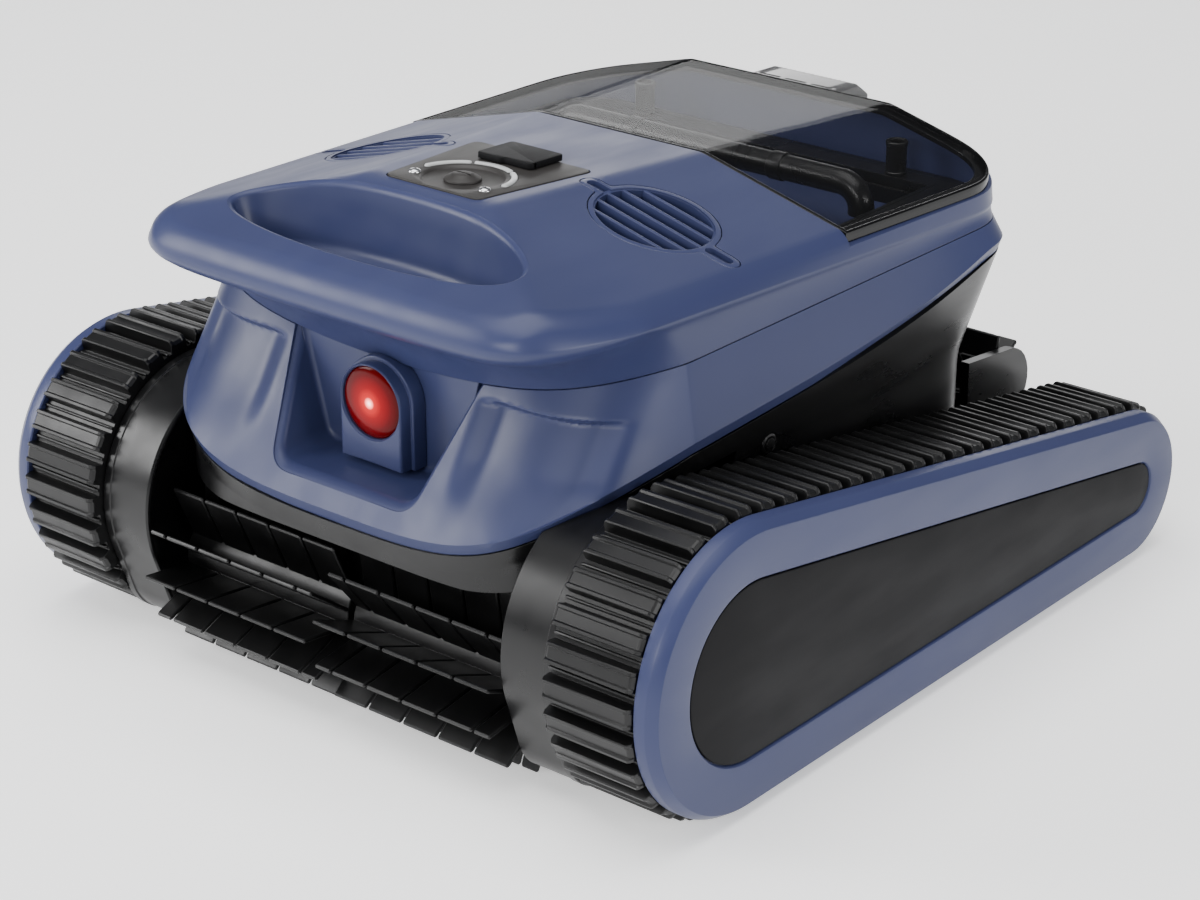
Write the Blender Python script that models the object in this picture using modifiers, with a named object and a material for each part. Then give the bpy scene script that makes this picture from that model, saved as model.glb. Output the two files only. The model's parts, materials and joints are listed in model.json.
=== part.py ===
"""Cordless pool cleaner on two rubber tracks, with a clear lid, a carrying bar and roller brushes.

Metres, +Z up. The front, with the lens and the brushes, faces -Y. The origin is on the floor under
the middle of the whole machine. Distances called "back" are measured from the front wheels' axle.
"""

import math

import bmesh
import bpy
import numpy as np
from mathutils import Matrix, Vector

NAME = "pool_cleaner"
GAP = 0.0003

# Overall sizes
LENGTH = 0.4404
WIDTH = 0.400

# Tracks, wheels and their covers
FRONT_TIP_R = 0.0712
REAR_TIP_R = 0.0426
TRACK_W = 0.0475
LUG_H = 0.0065
BELT_T = 0.0030
LUG_COUNT = 60
LUG_SHARE = 0.56
COVER_T = 0.0112
COVER_INSET = 0.0033
PANEL_INSET = 0.0255
PANEL_T = 0.0020
COVER_CHAMFER = 0.0045
WHEEL_GAP = 0.0011
WHEEL_W = 0.040
ROAD_R = 0.015
ROAD_FORE = 0.150
AXLE_R = 0.005

# Hull outline, as distances inside the tracks' inner faces
SHOULDER_IN = (0.0110, 0.0025)
SKIRT_IN = (0.0040, 0.0015)
LIP_IN = (0.0050, 0.0005)
RIM_IN = (-0.0025, -0.0045)
HULL_IN = 0.0028

# Hull outline, back from the front axle, and forward of the rear axle
SHOULDER_FRONT = -0.053
SKIRT_FRONT = -0.057
LIP_FRONT = -0.0105
RIM_FRONT = -0.0495
SHOULDER_REAR = 0.0326
SKIRT_REAR = 0.0300
LIP_REAR = 0.0310
RIM_REAR = 0.0295
REAR_CORNER_R = 0.034
# how far each outline's front edge bows back at its ends, and how suddenly
SHOULDER_BOW = (0.062, 14.0)
SKIRT_BOW = (0.066, 13.0)
LIP_BOW = (0.045, 6.7)
RIM_BOW = (0.0815, 6.7)
# heights of the edges: middle of the front, rise to its ends, power, then change along the side
LIP_RISE = (0.1672, 0.0188, 2.1, 0.0020)
SKIRT_RISE = (0.2010, 0.0080, 6.0, -0.0140)
RIM_RISE = (0.0998, 0.0460, 3.3, 0.0120)
RIM_TAIL = (0.0150, 4.0)
KNEE_RISE = (0.0900, 0.0400, 3.0, -0.0100)
DECK_EDGE_Z = 0.200
DECK_EDGE_H = 0.0165
RIM_BAND = 0.006
RIM_UNDERCUT = 0.0012

# Deck facets: the height where the middle facet meets the lid, and the slopes
DECK_Z = 0.2345
DECK_REF = 0.150
MID_SLOPE = -0.046
SIDE_SLOPE = 0.257
SIDE_FALL = -0.0227
CREASE_HALF = 0.0504
NOSE_SLOPE = 0.31
NOSE_EDGE_Z = 0.2185
WALL = 0.0032

# Handle pocket in the deck
GRIP_IN = 0.0555
GRIP_FRONT = -0.0355
GRIP_REAR = 0.0115
GRIP_WIDEST = -0.0190
GRIP_POWER = 2.15
GRIP_DEPTH = 0.034
GRIP_DRAFT = 0.007

# Outlet vents
VENT_IN = 0.0592
VENT_BACK = 0.0795
VENT_R = 0.0300
SLATS = 5
SLAT_T = 0.0022
SLAT_H = 0.0095
VENT_RING = 0.0026
VENT_SUNK = 0.0004
DUCT_DEPTH = 0.026
IMPELLER_H = 0.0085
MOTOR_R = 0.0165
MOTOR_L = 0.050

# Control panel
PANEL_FRONT = 0.0210
PANEL_REAR = 0.0925
PANEL_HALF = (0.0292, 0.0358)
PLATE_T = 0.0026
PLATE_PROUD = 0.0004
DIAL_BACK = 0.0425
DIAL_WELL_R = 0.0190
DIAL_WELL_DEPTH = 0.0014
DIAL_R = 0.0080
DIAL_PROUD = 0.0014
LIGHT_R = 0.0235
LIGHT_W = 0.0028
LIGHT_SPAN = 50.0
SCREW_X = 0.0213
SCREW_BACK = 0.0335
SCREW_R = 0.0030
FLAP_HALF = 0.0160
FLAP_FRONT = 0.0695
FLAP_REAR = 0.0950
FLAP_T = 0.0030
FLAP_GAP = 0.0004
FLAP_TAB = 0.0014
PORT_DEPTH = 0.012
CHARGE_R = 0.0085

# Lid
LID_BACK = 0.1535
LID_T = 0.0026
LID_RIM_T = 0.0050
LID_RIM_W = 0.0075
LID_FRONT_W = 0.0035
LID_EDGE = 0.0004
TAB_HALF = 0.027
TAB_T = 0.011
TAB_REACH = 0.033

# Nose pocket and status lamp
POCKET_HALF = (0.041, 0.060)
POCKET_Z = (0.1170, 0.2000)
POCKET_BACK = -0.0075
POCKET_WALL = 0.0030
POD_HALF = 0.0193
POD_FRONT = -0.0228
POD_Z = (0.1240, 0.1495)
LENS_R = 0.0172
LENS_T = 0.0040

# Lower body
FLOOR_Z = 0.0125
TUB_WALL = 0.0030
TUB_FOOT = 0.0030
TUB_FOOT_H = 0.010
TUB_FRONT_IN = 0.002
TUB_TAPER = 0.004
TUB_TOP_IN = 0.0010
TUB_REAR = 0.046
FENDER_W = 0.0305
FENDER_IN = 0.0092
FENDER_R = FRONT_TIP_R - FENDER_IN
FENDER_WALL = 0.0025
SHELL_ROOM = 0.0015
DRIVE_R = 0.024
FENDER_TOE = (-0.026, 0.0335, 0.0255)
APRON_Z = 0.0885

# Brushes
BRUSH_BACK = -0.0235
BRUSH_Z = 0.0470
BRUSH_CORE_R = 0.0165
BRUSH_TIP_R = 0.0445
BRUSH_AXLE_R = 0.0042
BRUSH_ROWS = 12
BRUSH_GAP = 0.0030
BRUSH_END = 0.0018
BLADE_SWEEP = -14.0
BLADE_T = 0.0022
BAY_CLEAR = 0.0025
ROLLER_FORE = 0.0076
ROLLER_Z = 0.0830
ROLLER_R = 0.0120
ROLLER_TIP_R = 0.0250
ROLLER_ROWS = 8
ROLLER_HALF = 0.1190
ROLLER_PIN_R = 0.0040
ARM_R = 0.0195
ARM_T = 0.0050

# Screw caps on the tub's flanks
PLUG_BACK = 0.0930
PLUG_Z = 0.1290
PLUG_R = 0.0055
PLUG_L = 0.0042

# Filter bay and basket
BAY_HALF = 0.1050
BAY_FRONT = 0.1615
BAY_REAR = 0.0550
BAY_TOP = 0.199
BAY_FLANGE = 0.0105
BAY_WALL = 0.0022
BASKET_GAP = 0.0015
BASKET_WALL = 0.0020
BASKET_TOP = 0.194
HANDLE_R = 0.0065
HANDLE_Z = 0.2085
HANDLE_BEND = 0.012
POST_R = 0.0056
POST_H = 0.017
POST_X = 0.080
INTAKE_HALF = 0.070
INTAKE_W = 0.044
FLAP_LAP = 0.004
FLAP_SPLIT = 0.0008
INTAKE_FLAP_T = 0.0018

# Battery and electronics
BATTERY_BACK = 0.068
BATTERY = (0.100, 0.080, 0.058)
BOARD = (0.090, 0.068, 0.022)

SIDE = WIDTH / 2 - COVER_T - GAP - TRACK_W
GRIP_HALF = SIDE - GRIP_IN
AXLE_FRONT_Y = -LENGTH / 2 + FRONT_TIP_R
AXLE_REAR_Y = LENGTH / 2 - REAR_TIP_R
WHEELBASE = AXLE_REAR_Y - AXLE_FRONT_Y
RAD = math.radians
SIDES = ((1, "right"), (-1, "left"))

BLUE = ("blue plastic", (0.105, 0.135, 0.300), 0.34, 0.0)
BLACK = ("black plastic", (0.012, 0.012, 0.013), 0.36, 0.0)
MATT = ("matt black plastic", (0.018, 0.018, 0.018), 0.60, 0.0)
RUBBER = ("black rubber", (0.010, 0.010, 0.011), 0.55, 0.0)
PLATE = ("dark grey plastic", (0.045, 0.043, 0.041), 0.50, 0.0)
STEEL = ("bright steel", (0.60, 0.60, 0.60), 0.25, 1.0)
SMOKE = ("smoked clear plastic", (0.10, 0.10, 0.11), 0.08, 0.0)
RED = ("red lens", (0.35, 0.01, 0.01), 0.12, 0.0)
LIGHT = ("frosted light bar", (0.55, 0.56, 0.56), 0.40, 0.0)
GREY = ("grey housing", (0.16, 0.16, 0.17), 0.45, 0.0)
COPPER = ("motor can", (0.35, 0.36, 0.38), 0.30, 1.0)


# ---------------------------------------------------------------- scene and materials

def clear_scene():
    for obj in list(bpy.data.objects):
        bpy.data.objects.remove(obj)


def new_collection(name, hidden=False):
    found = bpy.data.collections.new(name)
    bpy.context.scene.collection.children.link(found)
    found.hide_render = hidden
    return found


def material(look):
    name, colour, roughness, metallic = look
    made = bpy.data.materials.get(name)
    if made is None:
        made = bpy.data.materials.new(name)
        made.use_nodes = True
        surface = made.node_tree.nodes["Principled BSDF"]
        surface.inputs["Base Color"].default_value = (*colour, 1.0)
        surface.inputs["Roughness"].default_value = roughness
        surface.inputs["Metallic"].default_value = metallic
    return made


def place(obj, look, smooth=True):
    """Puts a finished object in the cleaner's collection with its material."""
    for held in list(obj.users_collection):
        held.objects.unlink(obj)
    PARTS.objects.link(obj)
    obj.data.materials.clear()
    obj.data.materials.append(material(look))
    if smooth and obj.type == "MESH":
        obj.data.shade_smooth()
        obj.data.set_sharp_from_angle(angle=RAD(32))
    return obj


def as_cutter(obj):
    for held in list(obj.users_collection):
        held.objects.unlink(obj)
    CUTTERS.objects.link(obj)
    obj.hide_render = True
    obj.display_type = "WIRE"
    return obj


def from_bmesh(name, bm):
    bmesh.ops.recalc_face_normals(bm, faces=bm.faces)
    mesh = bpy.data.meshes.new(name)
    bm.to_mesh(mesh)
    bm.free()
    obj = bpy.data.objects.new(name, mesh)
    CUTTERS.objects.link(obj)
    return obj


def combine(target, other, operation):
    step = target.modifiers.new(operation.title(), "BOOLEAN")
    step.operation = operation
    step.object = other
    as_cutter(other)
    return target


def cut(target, *others):
    for other in others:
        combine(target, other, "DIFFERENCE")
    return target


def join(target, *others):
    for other in others:
        combine(target, other, "UNION")
    return target


def keep_inside(target, other):
    return combine(target, other, "INTERSECT")


# ---------------------------------------------------------------- basic shapes

def back(distance):
    """World Y of a place this far back from the front axle."""
    return AXLE_FRONT_Y + distance


def fore(distance):
    """World Y of a place this far forward of the rear axle."""
    return AXLE_REAR_Y - distance


def box(name, low, high, bevel=0.0):
    low = Vector(low)
    high = Vector(high)
    size = high - low
    bm = bmesh.new()
    bmesh.ops.create_cube(bm, size=1.0)
    bmesh.ops.scale(bm, vec=size, verts=bm.verts)
    obj = from_bmesh(name, bm)
    obj.location = (low + high) / 2
    if bevel:
        step = obj.modifiers.new("Bevel", "BEVEL")
        step.width = bevel
        step.segments = 2
    return obj


AXES = {
    "X": Matrix.Rotation(RAD(90), 4, "Y"),
    "Y": Matrix.Rotation(RAD(-90), 4, "X"),
    "Z": Matrix.Identity(4),
}


def rod(name, radius, length, centre, axis="X", sides=24, end_radius=None):
    bm = bmesh.new()
    bmesh.ops.create_cone(bm, cap_ends=True, segments=sides, radius1=radius,
                          radius2=radius if end_radius is None else end_radius, depth=length)
    bmesh.ops.transform(bm, matrix=AXES[axis], verts=bm.verts)
    obj = from_bmesh(name, bm)
    obj.location = centre
    return obj


def turned(name, profile, centre, axis="X", steps=32):
    """A solid turned about an axis from (radius, height) points that run down its outer side."""
    mesh = bpy.data.meshes.new(name)
    points = [(r, 0.0, h) for r, h in profile]
    mesh.from_pydata(points, [(i, i + 1) for i in range(len(points) - 1)], [])
    obj = bpy.data.objects.new(name, mesh)
    CUTTERS.objects.link(obj)
    screw = obj.modifiers.new("Screw", "SCREW")
    screw.steps = steps
    screw.render_steps = steps
    screw.use_merge_vertices = True
    screw.merge_threshold = 0.00001
    obj.matrix_world = Matrix.Translation(centre) @ AXES[axis]
    return obj


def prism(name, outline, low, high, axis="X"):
    """A flat outline pushed out along an axis. Points are (y, z) for X, (x, z) for Y, (x, y) for Z."""
    ends = []
    for level in (low, high):
        if axis == "X":
            ends.append([(level, a, b) for a, b in outline])
        elif axis == "Y":
            ends.append([(a, level, b) for a, b in outline])
        else:
            ends.append([(a, b, level) for a, b in outline])
    return skin(name, ends)


def skin(name, rings, ring_closed=False):
    """A closed solid over a stack of rings with equal numbers of points, capped unless it loops."""
    bm = bmesh.new()
    loops = [[bm.verts.new(p) for p in ring] for ring in rings]
    count = len(loops[0])
    pairs = list(zip(loops, loops[1:]))
    if ring_closed:
        pairs.append((loops[-1], loops[0]))
    for lower, upper in pairs:
        for i in range(count):
            j = (i + 1) % count
            bm.faces.new((lower[i], lower[j], upper[j], upper[i]))
    if not ring_closed:
        bm.faces.new(loops[0])
        bm.faces.new(list(reversed(loops[-1])))
    bmesh.ops.remove_doubles(bm, verts=bm.verts, dist=0.000001)
    bmesh.ops.triangulate(bm, faces=[f for f in bm.faces if len(f.verts) > 4])
    return from_bmesh(name, bm)


def arc(cx, cy, radius, start, end, steps):
    angles = np.radians(np.linspace(start, end, steps + 1))
    return [(cx + radius * math.cos(a), cy + radius * math.sin(a)) for a in angles]


# ---------------------------------------------------------------- hull outlines

FRONT_STEPS = 8
SIDE_STEPS = 4


def plan(front, rear, side_in, bow, inset=0.0):
    """Outline from the right front round the back to the left front, as (x, y, share along the side).

    The front edge is y = front + depth * |x / half|**power, the sides run straight to the rear
    corners, which are quarter circles. The third value is -1 to 0 on the front edge, where -1 is
    its middle, 0 to 1 along the side, and 1 on the back. side_in is how far the sides stand in
    from the tracks at the front and at the rear.
    """
    depth, power = bow
    front = back(front + inset)
    rear = fore(rear + inset)
    half_front = SIDE - side_in[0] - inset
    half_rear = SIDE - side_in[1] - inset
    corner = REAR_CORNER_R - inset
    start = front + depth
    right = []
    for i in range(FRONT_STEPS):
        t = math.sin(0.5 * math.pi * i / FRONT_STEPS)
        right.append((half_front * t, front + depth * t ** power, t - 1.0))
    for i in range(SIDE_STEPS):
        s = i / SIDE_STEPS
        x = half_front + (half_rear - half_front) * s
        right.append((x, start + (rear - corner - start) * s, s))
    for x, y in arc(half_rear - corner, rear - corner, corner, 0, 90, 4):
        right.append((x, y, 1.0))
    left = [(-x, y, s) for x, y, s in reversed(right[1:])]
    return right + left


def shoulder_plan(inset=0.0):
    return plan(SHOULDER_FRONT, SHOULDER_REAR, SHOULDER_IN, SHOULDER_BOW, inset)


def skirt_plan(inset=0.0):
    return plan(SKIRT_FRONT, SKIRT_REAR, SKIRT_IN, SKIRT_BOW, inset)


def lip_plan(inset=0.0):
    return plan(LIP_FRONT, LIP_REAR, LIP_IN, LIP_BOW, inset)


def rim_plan(inset=0.0):
    return plan(RIM_FRONT, RIM_REAR, RIM_IN, RIM_BOW, inset)


def edge_z(s, rise):
    """Height of an edge that rises from the middle of the front to its ends, then runs straight."""
    middle, ends, power, along = rise
    if s < 0:
        return middle + ends * (s + 1) ** power
    return middle + ends + along * s


def lip_z(s):
    """Height of the line where the deck meets the shell below it."""
    return edge_z(s, LIP_RISE)


def skirt_z(s):
    """Height of the lower edge of the deck's skirt."""
    return edge_z(s, SKIRT_RISE)


def rim_z(s):
    """Height of the blue shell's lower rim, which sweeps up again towards the back."""
    lift, power = RIM_TAIL
    return edge_z(s, RIM_RISE) + lift * max(s, 0.0) ** power


def ring(outline, height, lift=0.0):
    return [(x, y, (height(s) if callable(height) else height) + lift) for x, y, s in outline]


def deck_height(x, y):
    """Height of the deck's facets above a place."""
    behind = y - back(DECK_REF)
    middle = DECK_Z + MID_SLOPE * behind
    side = DECK_Z - SIDE_SLOPE * (abs(x) - CREASE_HALF) + SIDE_FALL * behind
    nose = NOSE_EDGE_Z + NOSE_SLOPE * (y - back(SHOULDER_FRONT))
    return min(middle, side, nose)


def facet_planes(drop):
    """Point and outward normal of each facet, lowered straight down by drop."""
    ref = Vector((0.0, back(DECK_REF), DECK_Z - drop))
    nose = Vector((0.0, back(SHOULDER_FRONT), NOSE_EDGE_Z - drop))
    planes = [(ref, Vector((0, -MID_SLOPE, 1))), (nose, Vector((0, -NOSE_SLOPE, 1)))]
    for sign in (1, -1):
        edge = ref + Vector((sign * CREASE_HALF, 0, 0))
        planes.append((edge, Vector((sign * SIDE_SLOPE, -SIDE_FALL, 1))))
    return planes


def under_facets(name, rings, drop=0.0):
    """A solid over the rings, with everything above the lowered facets cut away."""
    obj = skin(name, rings)
    bm = bmesh.new()
    bm.from_mesh(obj.data)
    for point, normal in facet_planes(drop):
        everything = bm.verts[:] + bm.edges[:] + bm.faces[:]
        found = bmesh.ops.bisect_plane(bm, geom=everything, plane_co=point, plane_no=normal,
                                       clear_outer=True)
        edges = [e for e in found["geom_cut"] if isinstance(e, bmesh.types.BMEdge)]
        bmesh.ops.contextual_create(bm, geom=edges)
    bmesh.ops.remove_doubles(bm, verts=bm.verts, dist=0.00002)
    bmesh.ops.triangulate(bm, faces=[f for f in bm.faces if len(f.verts) > 4])
    bmesh.ops.recalc_face_normals(bm, faces=bm.faces)
    bm.to_mesh(obj.data)
    bm.free()
    return obj


TOP = 0.30


def on_facet(side):
    """Matrix of a frame lying on the middle facet (side 0) or a side facet (1 right, -1 left)."""
    if side == 0:
        normal = Vector((0, -MID_SLOPE, 1)).normalized()
    else:
        normal = Vector((side * SIDE_SLOPE, -SIDE_FALL, 1)).normalized()
    along = Vector((0, 1, 0))
    across = along.cross(normal).normalized()
    along = normal.cross(across)
    return Matrix((across, along, normal)).transposed().to_4x4()


def vent_centre(side):
    x = side * (SIDE - VENT_IN)
    y = back(VENT_BACK)
    return Vector((x, y, deck_height(x, y)))


def moved(obj, matrix):
    """Puts an object that was made about the origin into a frame."""
    obj.data.transform(matrix.to_3x3().to_4x4())
    obj.location = matrix.translation
    return obj


def pivot_at(obj, point):
    """Moves an unturned object's origin to a point on its joint's axis, without moving its shape."""
    obj.data.transform(Matrix.Translation(obj.location - Vector(point)))
    obj.location = point
    return obj


# ---------------------------------------------------------------- deck, nose shell and tub

def deck_rings(inset, lift):
    skirt = skirt_plan(inset)
    shoulder = shoulder_plan(inset)
    slope = (TOP - DECK_EDGE_Z) / DECK_EDGE_H
    tip = [(a[0] + (b[0] - a[0]) * slope, a[1] + (b[1] - a[1]) * slope, a[2])
           for a, b in zip(skirt, shoulder)]
    return [ring(lip_plan(inset), lip_z, lift), ring(skirt, skirt_z, lift), ring(tip, TOP)]


def grip_outline(inset):
    """Mouth of the handle pocket: two halves of a rounded oval that meet where it is widest."""
    points = []
    power = 2.0 / GRIP_POWER
    for angle in np.linspace(0.0, 2.0 * math.pi, 28, endpoint=False):
        cos, sin = math.cos(angle), math.sin(angle)
        reach = GRIP_REAR - GRIP_WIDEST if sin > 0.0 else GRIP_WIDEST - GRIP_FRONT
        x = math.copysign(abs(cos) ** power, cos) * (GRIP_HALF - inset)
        y = math.copysign(abs(sin) ** power, sin) * (reach - inset)
        points.append((x, back(GRIP_WIDEST) + y))
    return points


def grip_solid(name, grow, low, high):
    top = [(x, y, high) for x, y in grip_outline(-grow)]
    bottom = [(x, y, low) for x, y in grip_outline(GRIP_DRAFT - grow)]
    return skin(name, [bottom, top])


def top_deck():
    """The blue upper cover, with its overhanging carrying bar and the seat of the lid."""
    deck = under_facets("top_deck", deck_rings(0.0, 0.0))
    inner = deck_rings(WALL, WALL)
    below = [(x, y, 0.12) for x, y, z in inner[0]]
    hollow = under_facets("deck_hollow", [below] + inner, WALL)
    floor = back_height_of_grip()
    cut(hollow, grip_solid("grip_walls", WALL, floor - WALL, TOP))
    cut(hollow, grip_front_filler())
    cut(deck, hollow, grip_solid("grip_pocket", 0.0, floor, TOP))
    cut(deck, lid_seat(), lid_mouth())
    for side in (1, -1):
        hole = rod("vent_hole", VENT_R + GAP, 0.08, (0, 0, 0), "Z", 28)
        frame = on_facet(side)
        frame.translation = vent_centre(side)
        cut(deck, moved(hole, frame))
    cut(deck, plate_solid("plate_seat", GAP, PLATE_T - PLATE_PROUD + GAP, 0.03))
    port_back = (FLAP_FRONT + FLAP_REAR) / 2
    cut(deck, plate_rod("socket_hole", 0, port_back, CHARGE_R + GAP, -0.02, 0.02))
    return place(deck, BLUE)


def back_height_of_grip():
    return deck_height(0, back(GRIP_REAR)) - GRIP_DEPTH


def grip_front_filler():
    """Keeps the carrying bar solid in front of the pocket."""
    y0 = back(SKIRT_FRONT - 0.01)
    return box("bar_core", (-GRIP_HALF, y0, 0.12), (GRIP_HALF, back(GRIP_FRONT + 0.004), TOP))


def lid_seat():
    """Everything above the lid's underside, behind the lid's front edge."""
    rings = [ring(skirt_plan(-0.02), 0.10), ring(skirt_plan(-0.02), TOP)]
    low = under_facets("below_lid", rings, LID_RIM_T + GAP)
    seat = box("lid_seat", (-WIDTH, back(LID_BACK), 0.16), (WIDTH, LENGTH, TOP + 0.05))
    return cut(seat, low)


def clip_front(obj, name, distance):
    keep = box(name, (-WIDTH, back(distance), 0.0), (WIDTH, LENGTH, 0.5))
    return keep_inside(obj, keep)


def lid_mouth():
    """The opening under the lid."""
    outline = shoulder_plan(LID_RIM_W)
    mouth = skin("lid_mouth", [ring(outline, 0.10), ring(outline, TOP)])
    return clip_front(mouth, "mouth_front", LID_BACK + LID_RIM_W)


def pocket_outline(grow):
    """Trapezoid seen from the front, wider at its top, with chamfered lower corners."""
    low, high = POCKET_Z
    small, large = POCKET_HALF
    low -= grow
    small += grow
    large += grow
    return [(-large, high), (-small - 0.006, low + 0.006), (-small, low),
            (small, low), (small + 0.006, low + 0.006), (large, high)]


def mid_shell():
    """The blue shell between deck and tub: the nose with its lamp pocket, the sides and the back."""
    outer = [ring(rim_plan(RIM_UNDERCUT), rim_z), ring(rim_plan(), rim_z, RIM_BAND),
             ring(lip_plan(), lip_z, -GAP)]
    shell = skin("mid_shell", outer)
    inner = [ring(rim_plan(WALL), rim_z, -0.03), ring(rim_plan(WALL), rim_z, RIM_BAND),
             ring(lip_plan(WALL), lip_z, -GAP), ring(lip_plan(WALL), 0.24)]
    hollow = skin("shell_hollow", inner)
    y0 = back(RIM_FRONT - 0.02)
    y1 = back(POCKET_BACK)
    cut(hollow, prism("pocket_walls", pocket_outline(POCKET_WALL), y0, y1 + POCKET_WALL, "Y"))
    cut(shell, hollow, prism("lamp_pocket", pocket_outline(0.0), y0, y1, "Y"))
    return place(shell, BLUE)


def status_lamp():
    """Arch-topped pod standing in the nose pocket, with a round red lens."""
    low, centre = POD_Z
    outline = [(-POD_HALF, low), (POD_HALF, low)] + arc(0, centre, POD_HALF, 0, 180, 12)
    y0 = back(POD_FRONT)
    y1 = back(POCKET_BACK) - GAP
    pod = prism("lens_pod", outline, y0, y1, "Y")
    cut(pod, under_facets("deck_above", deck_rings(-GAP, -GAP)))
    cut(pod, rod("lens_seat", LENS_R + GAP, 2 * LENS_T, (0, y0, centre), "Y", 32))
    place(pod, BLUE)
    dome = [(0.0, LENS_T - GAP), (LENS_R * 0.75, LENS_T - 0.0008), (LENS_R, LENS_T - 0.0020),
            (LENS_R, 0.0), (0.0, 0.0)]
    lens = turned("status_lens", dome, (0, y0 + LENS_T - GAP, centre), "Y", 32)
    lens.matrix_world = lens.matrix_world @ Matrix.Rotation(RAD(180), 4, "X")
    place(lens, RED)


def tub_sides(name, grow):
    """The space of wheel and fender on both sides, which the tub stays clear of."""
    inner = SIDE - FENDER_W - grow
    reach = back(FRONT_TIP_R - 0.004 + grow)
    top = FRONT_TIP_R + FENDER_R + 0.0015 + grow
    return [box(f"{name}_{i}", (min(s * inner, s * WIDTH), -LENGTH, -0.1),
                (max(s * inner, s * WIDTH), reach, top)) for i, s in enumerate((1, -1))]


def brush_bay(name, grow, half):
    """The space of the front brush: round at the back, open to the front and below."""
    radius = BRUSH_TIP_R + BAY_CLEAR + grow
    y = back(BRUSH_BACK)
    roof = APRON_Z + grow
    last = 180.0 - math.degrees(math.asin((roof - BRUSH_Z) / radius))
    outline = arc(y, BRUSH_Z, radius, -90, last, 14)
    outline += [(-LENGTH, roof), (-LENGTH, -0.1), (y, -0.1)]
    return prism(name, outline, -half, half, "X")


def hull_plan(inset):
    return plan(RIM_FRONT + TUB_FRONT_IN, TUB_REAR, (HULL_IN, HULL_IN + TUB_TAPER), RIM_BOW, inset)


def tub_knee(s):
    """Height where the tub's wall starts to flare out to the blue shell's rim."""
    return edge_z(s, KNEE_RISE)


def lower_tub():
    """The black chassis: one open-topped tub that carries everything else."""
    wall = TUB_WALL
    foot = FLOOR_Z + TUB_FOOT_H
    tub = skin("lower_tub", [
        ring(hull_plan(TUB_FOOT), FLOOR_Z), ring(hull_plan(0.0), foot),
        ring(hull_plan(0.0), tub_knee), ring(rim_plan(TUB_TOP_IN), rim_z, -GAP)])
    hollow = skin("tub_hollow", [
        ring(hull_plan(TUB_FOOT + 0.0005), FLOOR_Z + wall), ring(hull_plan(wall), foot + 0.002),
        ring(hull_plan(wall), tub_knee), ring(rim_plan(TUB_TOP_IN + wall), rim_z),
        ring(rim_plan(TUB_TOP_IN + wall), 0.2)])
    cut(hollow, brush_bay("bay_walls", wall, WIDTH), *tub_sides("side_walls", wall))
    cut(tub, hollow, brush_bay("bay", 0.0, WIDTH), *tub_sides("side_clear", GAP))
    cut(tub, mouth_box("intake_mouth", -0.01, FLOOR_Z + 2 * wall))
    for side, word in SIDES:
        centre = (side * (SIDE - HULL_IN), back(PLUG_BACK), PLUG_Z)
        cut(tub, rod("plug_hole", PLUG_R + GAP, 0.02, centre, "X", 16))
    return place(tub, BLACK)


# ---------------------------------------------------------------- control panel

def facet_frame(side, centre):
    frame = on_facet(side)
    frame.translation = centre
    return frame


def dial_frame():
    y = back(DIAL_BACK)
    return facet_frame(0, Vector((0, y, deck_height(0, y))))


def plate_solid(name, grow, depth, height):
    """The control panel's outline as a solid on the middle facet, from depth below to height above."""
    front = PANEL_FRONT - grow
    rear = PANEL_REAR + grow
    near = PANEL_HALF[0] + grow
    far = PANEL_HALF[1] + grow
    radius = 0.004
    corners = ((far - radius, rear - radius, 0), (-far + radius, rear - radius, 90),
               (-near + radius, front + radius, 180), (near - radius, front + radius, 270))
    outline = []
    for cx, cy, start in corners:
        outline += arc(cx, cy - DIAL_BACK, radius, start, start + 90, 3)
    return moved(prism(name, outline, -depth, height, "Z"), dial_frame())


def plate_rod(name, x, distance, radius, low, high, sides=20):
    """A cylinder standing on the middle facet, x across and distance back."""
    solid = rod(name, radius, high - low, (0, 0, 0), "Z", sides)
    solid.data.transform(Matrix.Translation((x, distance - DIAL_BACK, (low + high) / 2)))
    return moved(solid, dial_frame())


def light_arc(name, middle, grow, low, high):
    """One curved bar of the ring of lights, as an outline bent about the dial."""
    inner = LIGHT_R - LIGHT_W / 2 - grow
    outer = LIGHT_R + LIGHT_W / 2 + grow
    half = LIGHT_SPAN / 2 + math.degrees(grow / LIGHT_R)
    outline = arc(0, 0, outer, middle - half, middle + half, 5)
    outline += arc(0, 0, inner, middle + half, middle - half, 5)
    return moved(prism(name, outline, low, high, "Z"), dial_frame())


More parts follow.
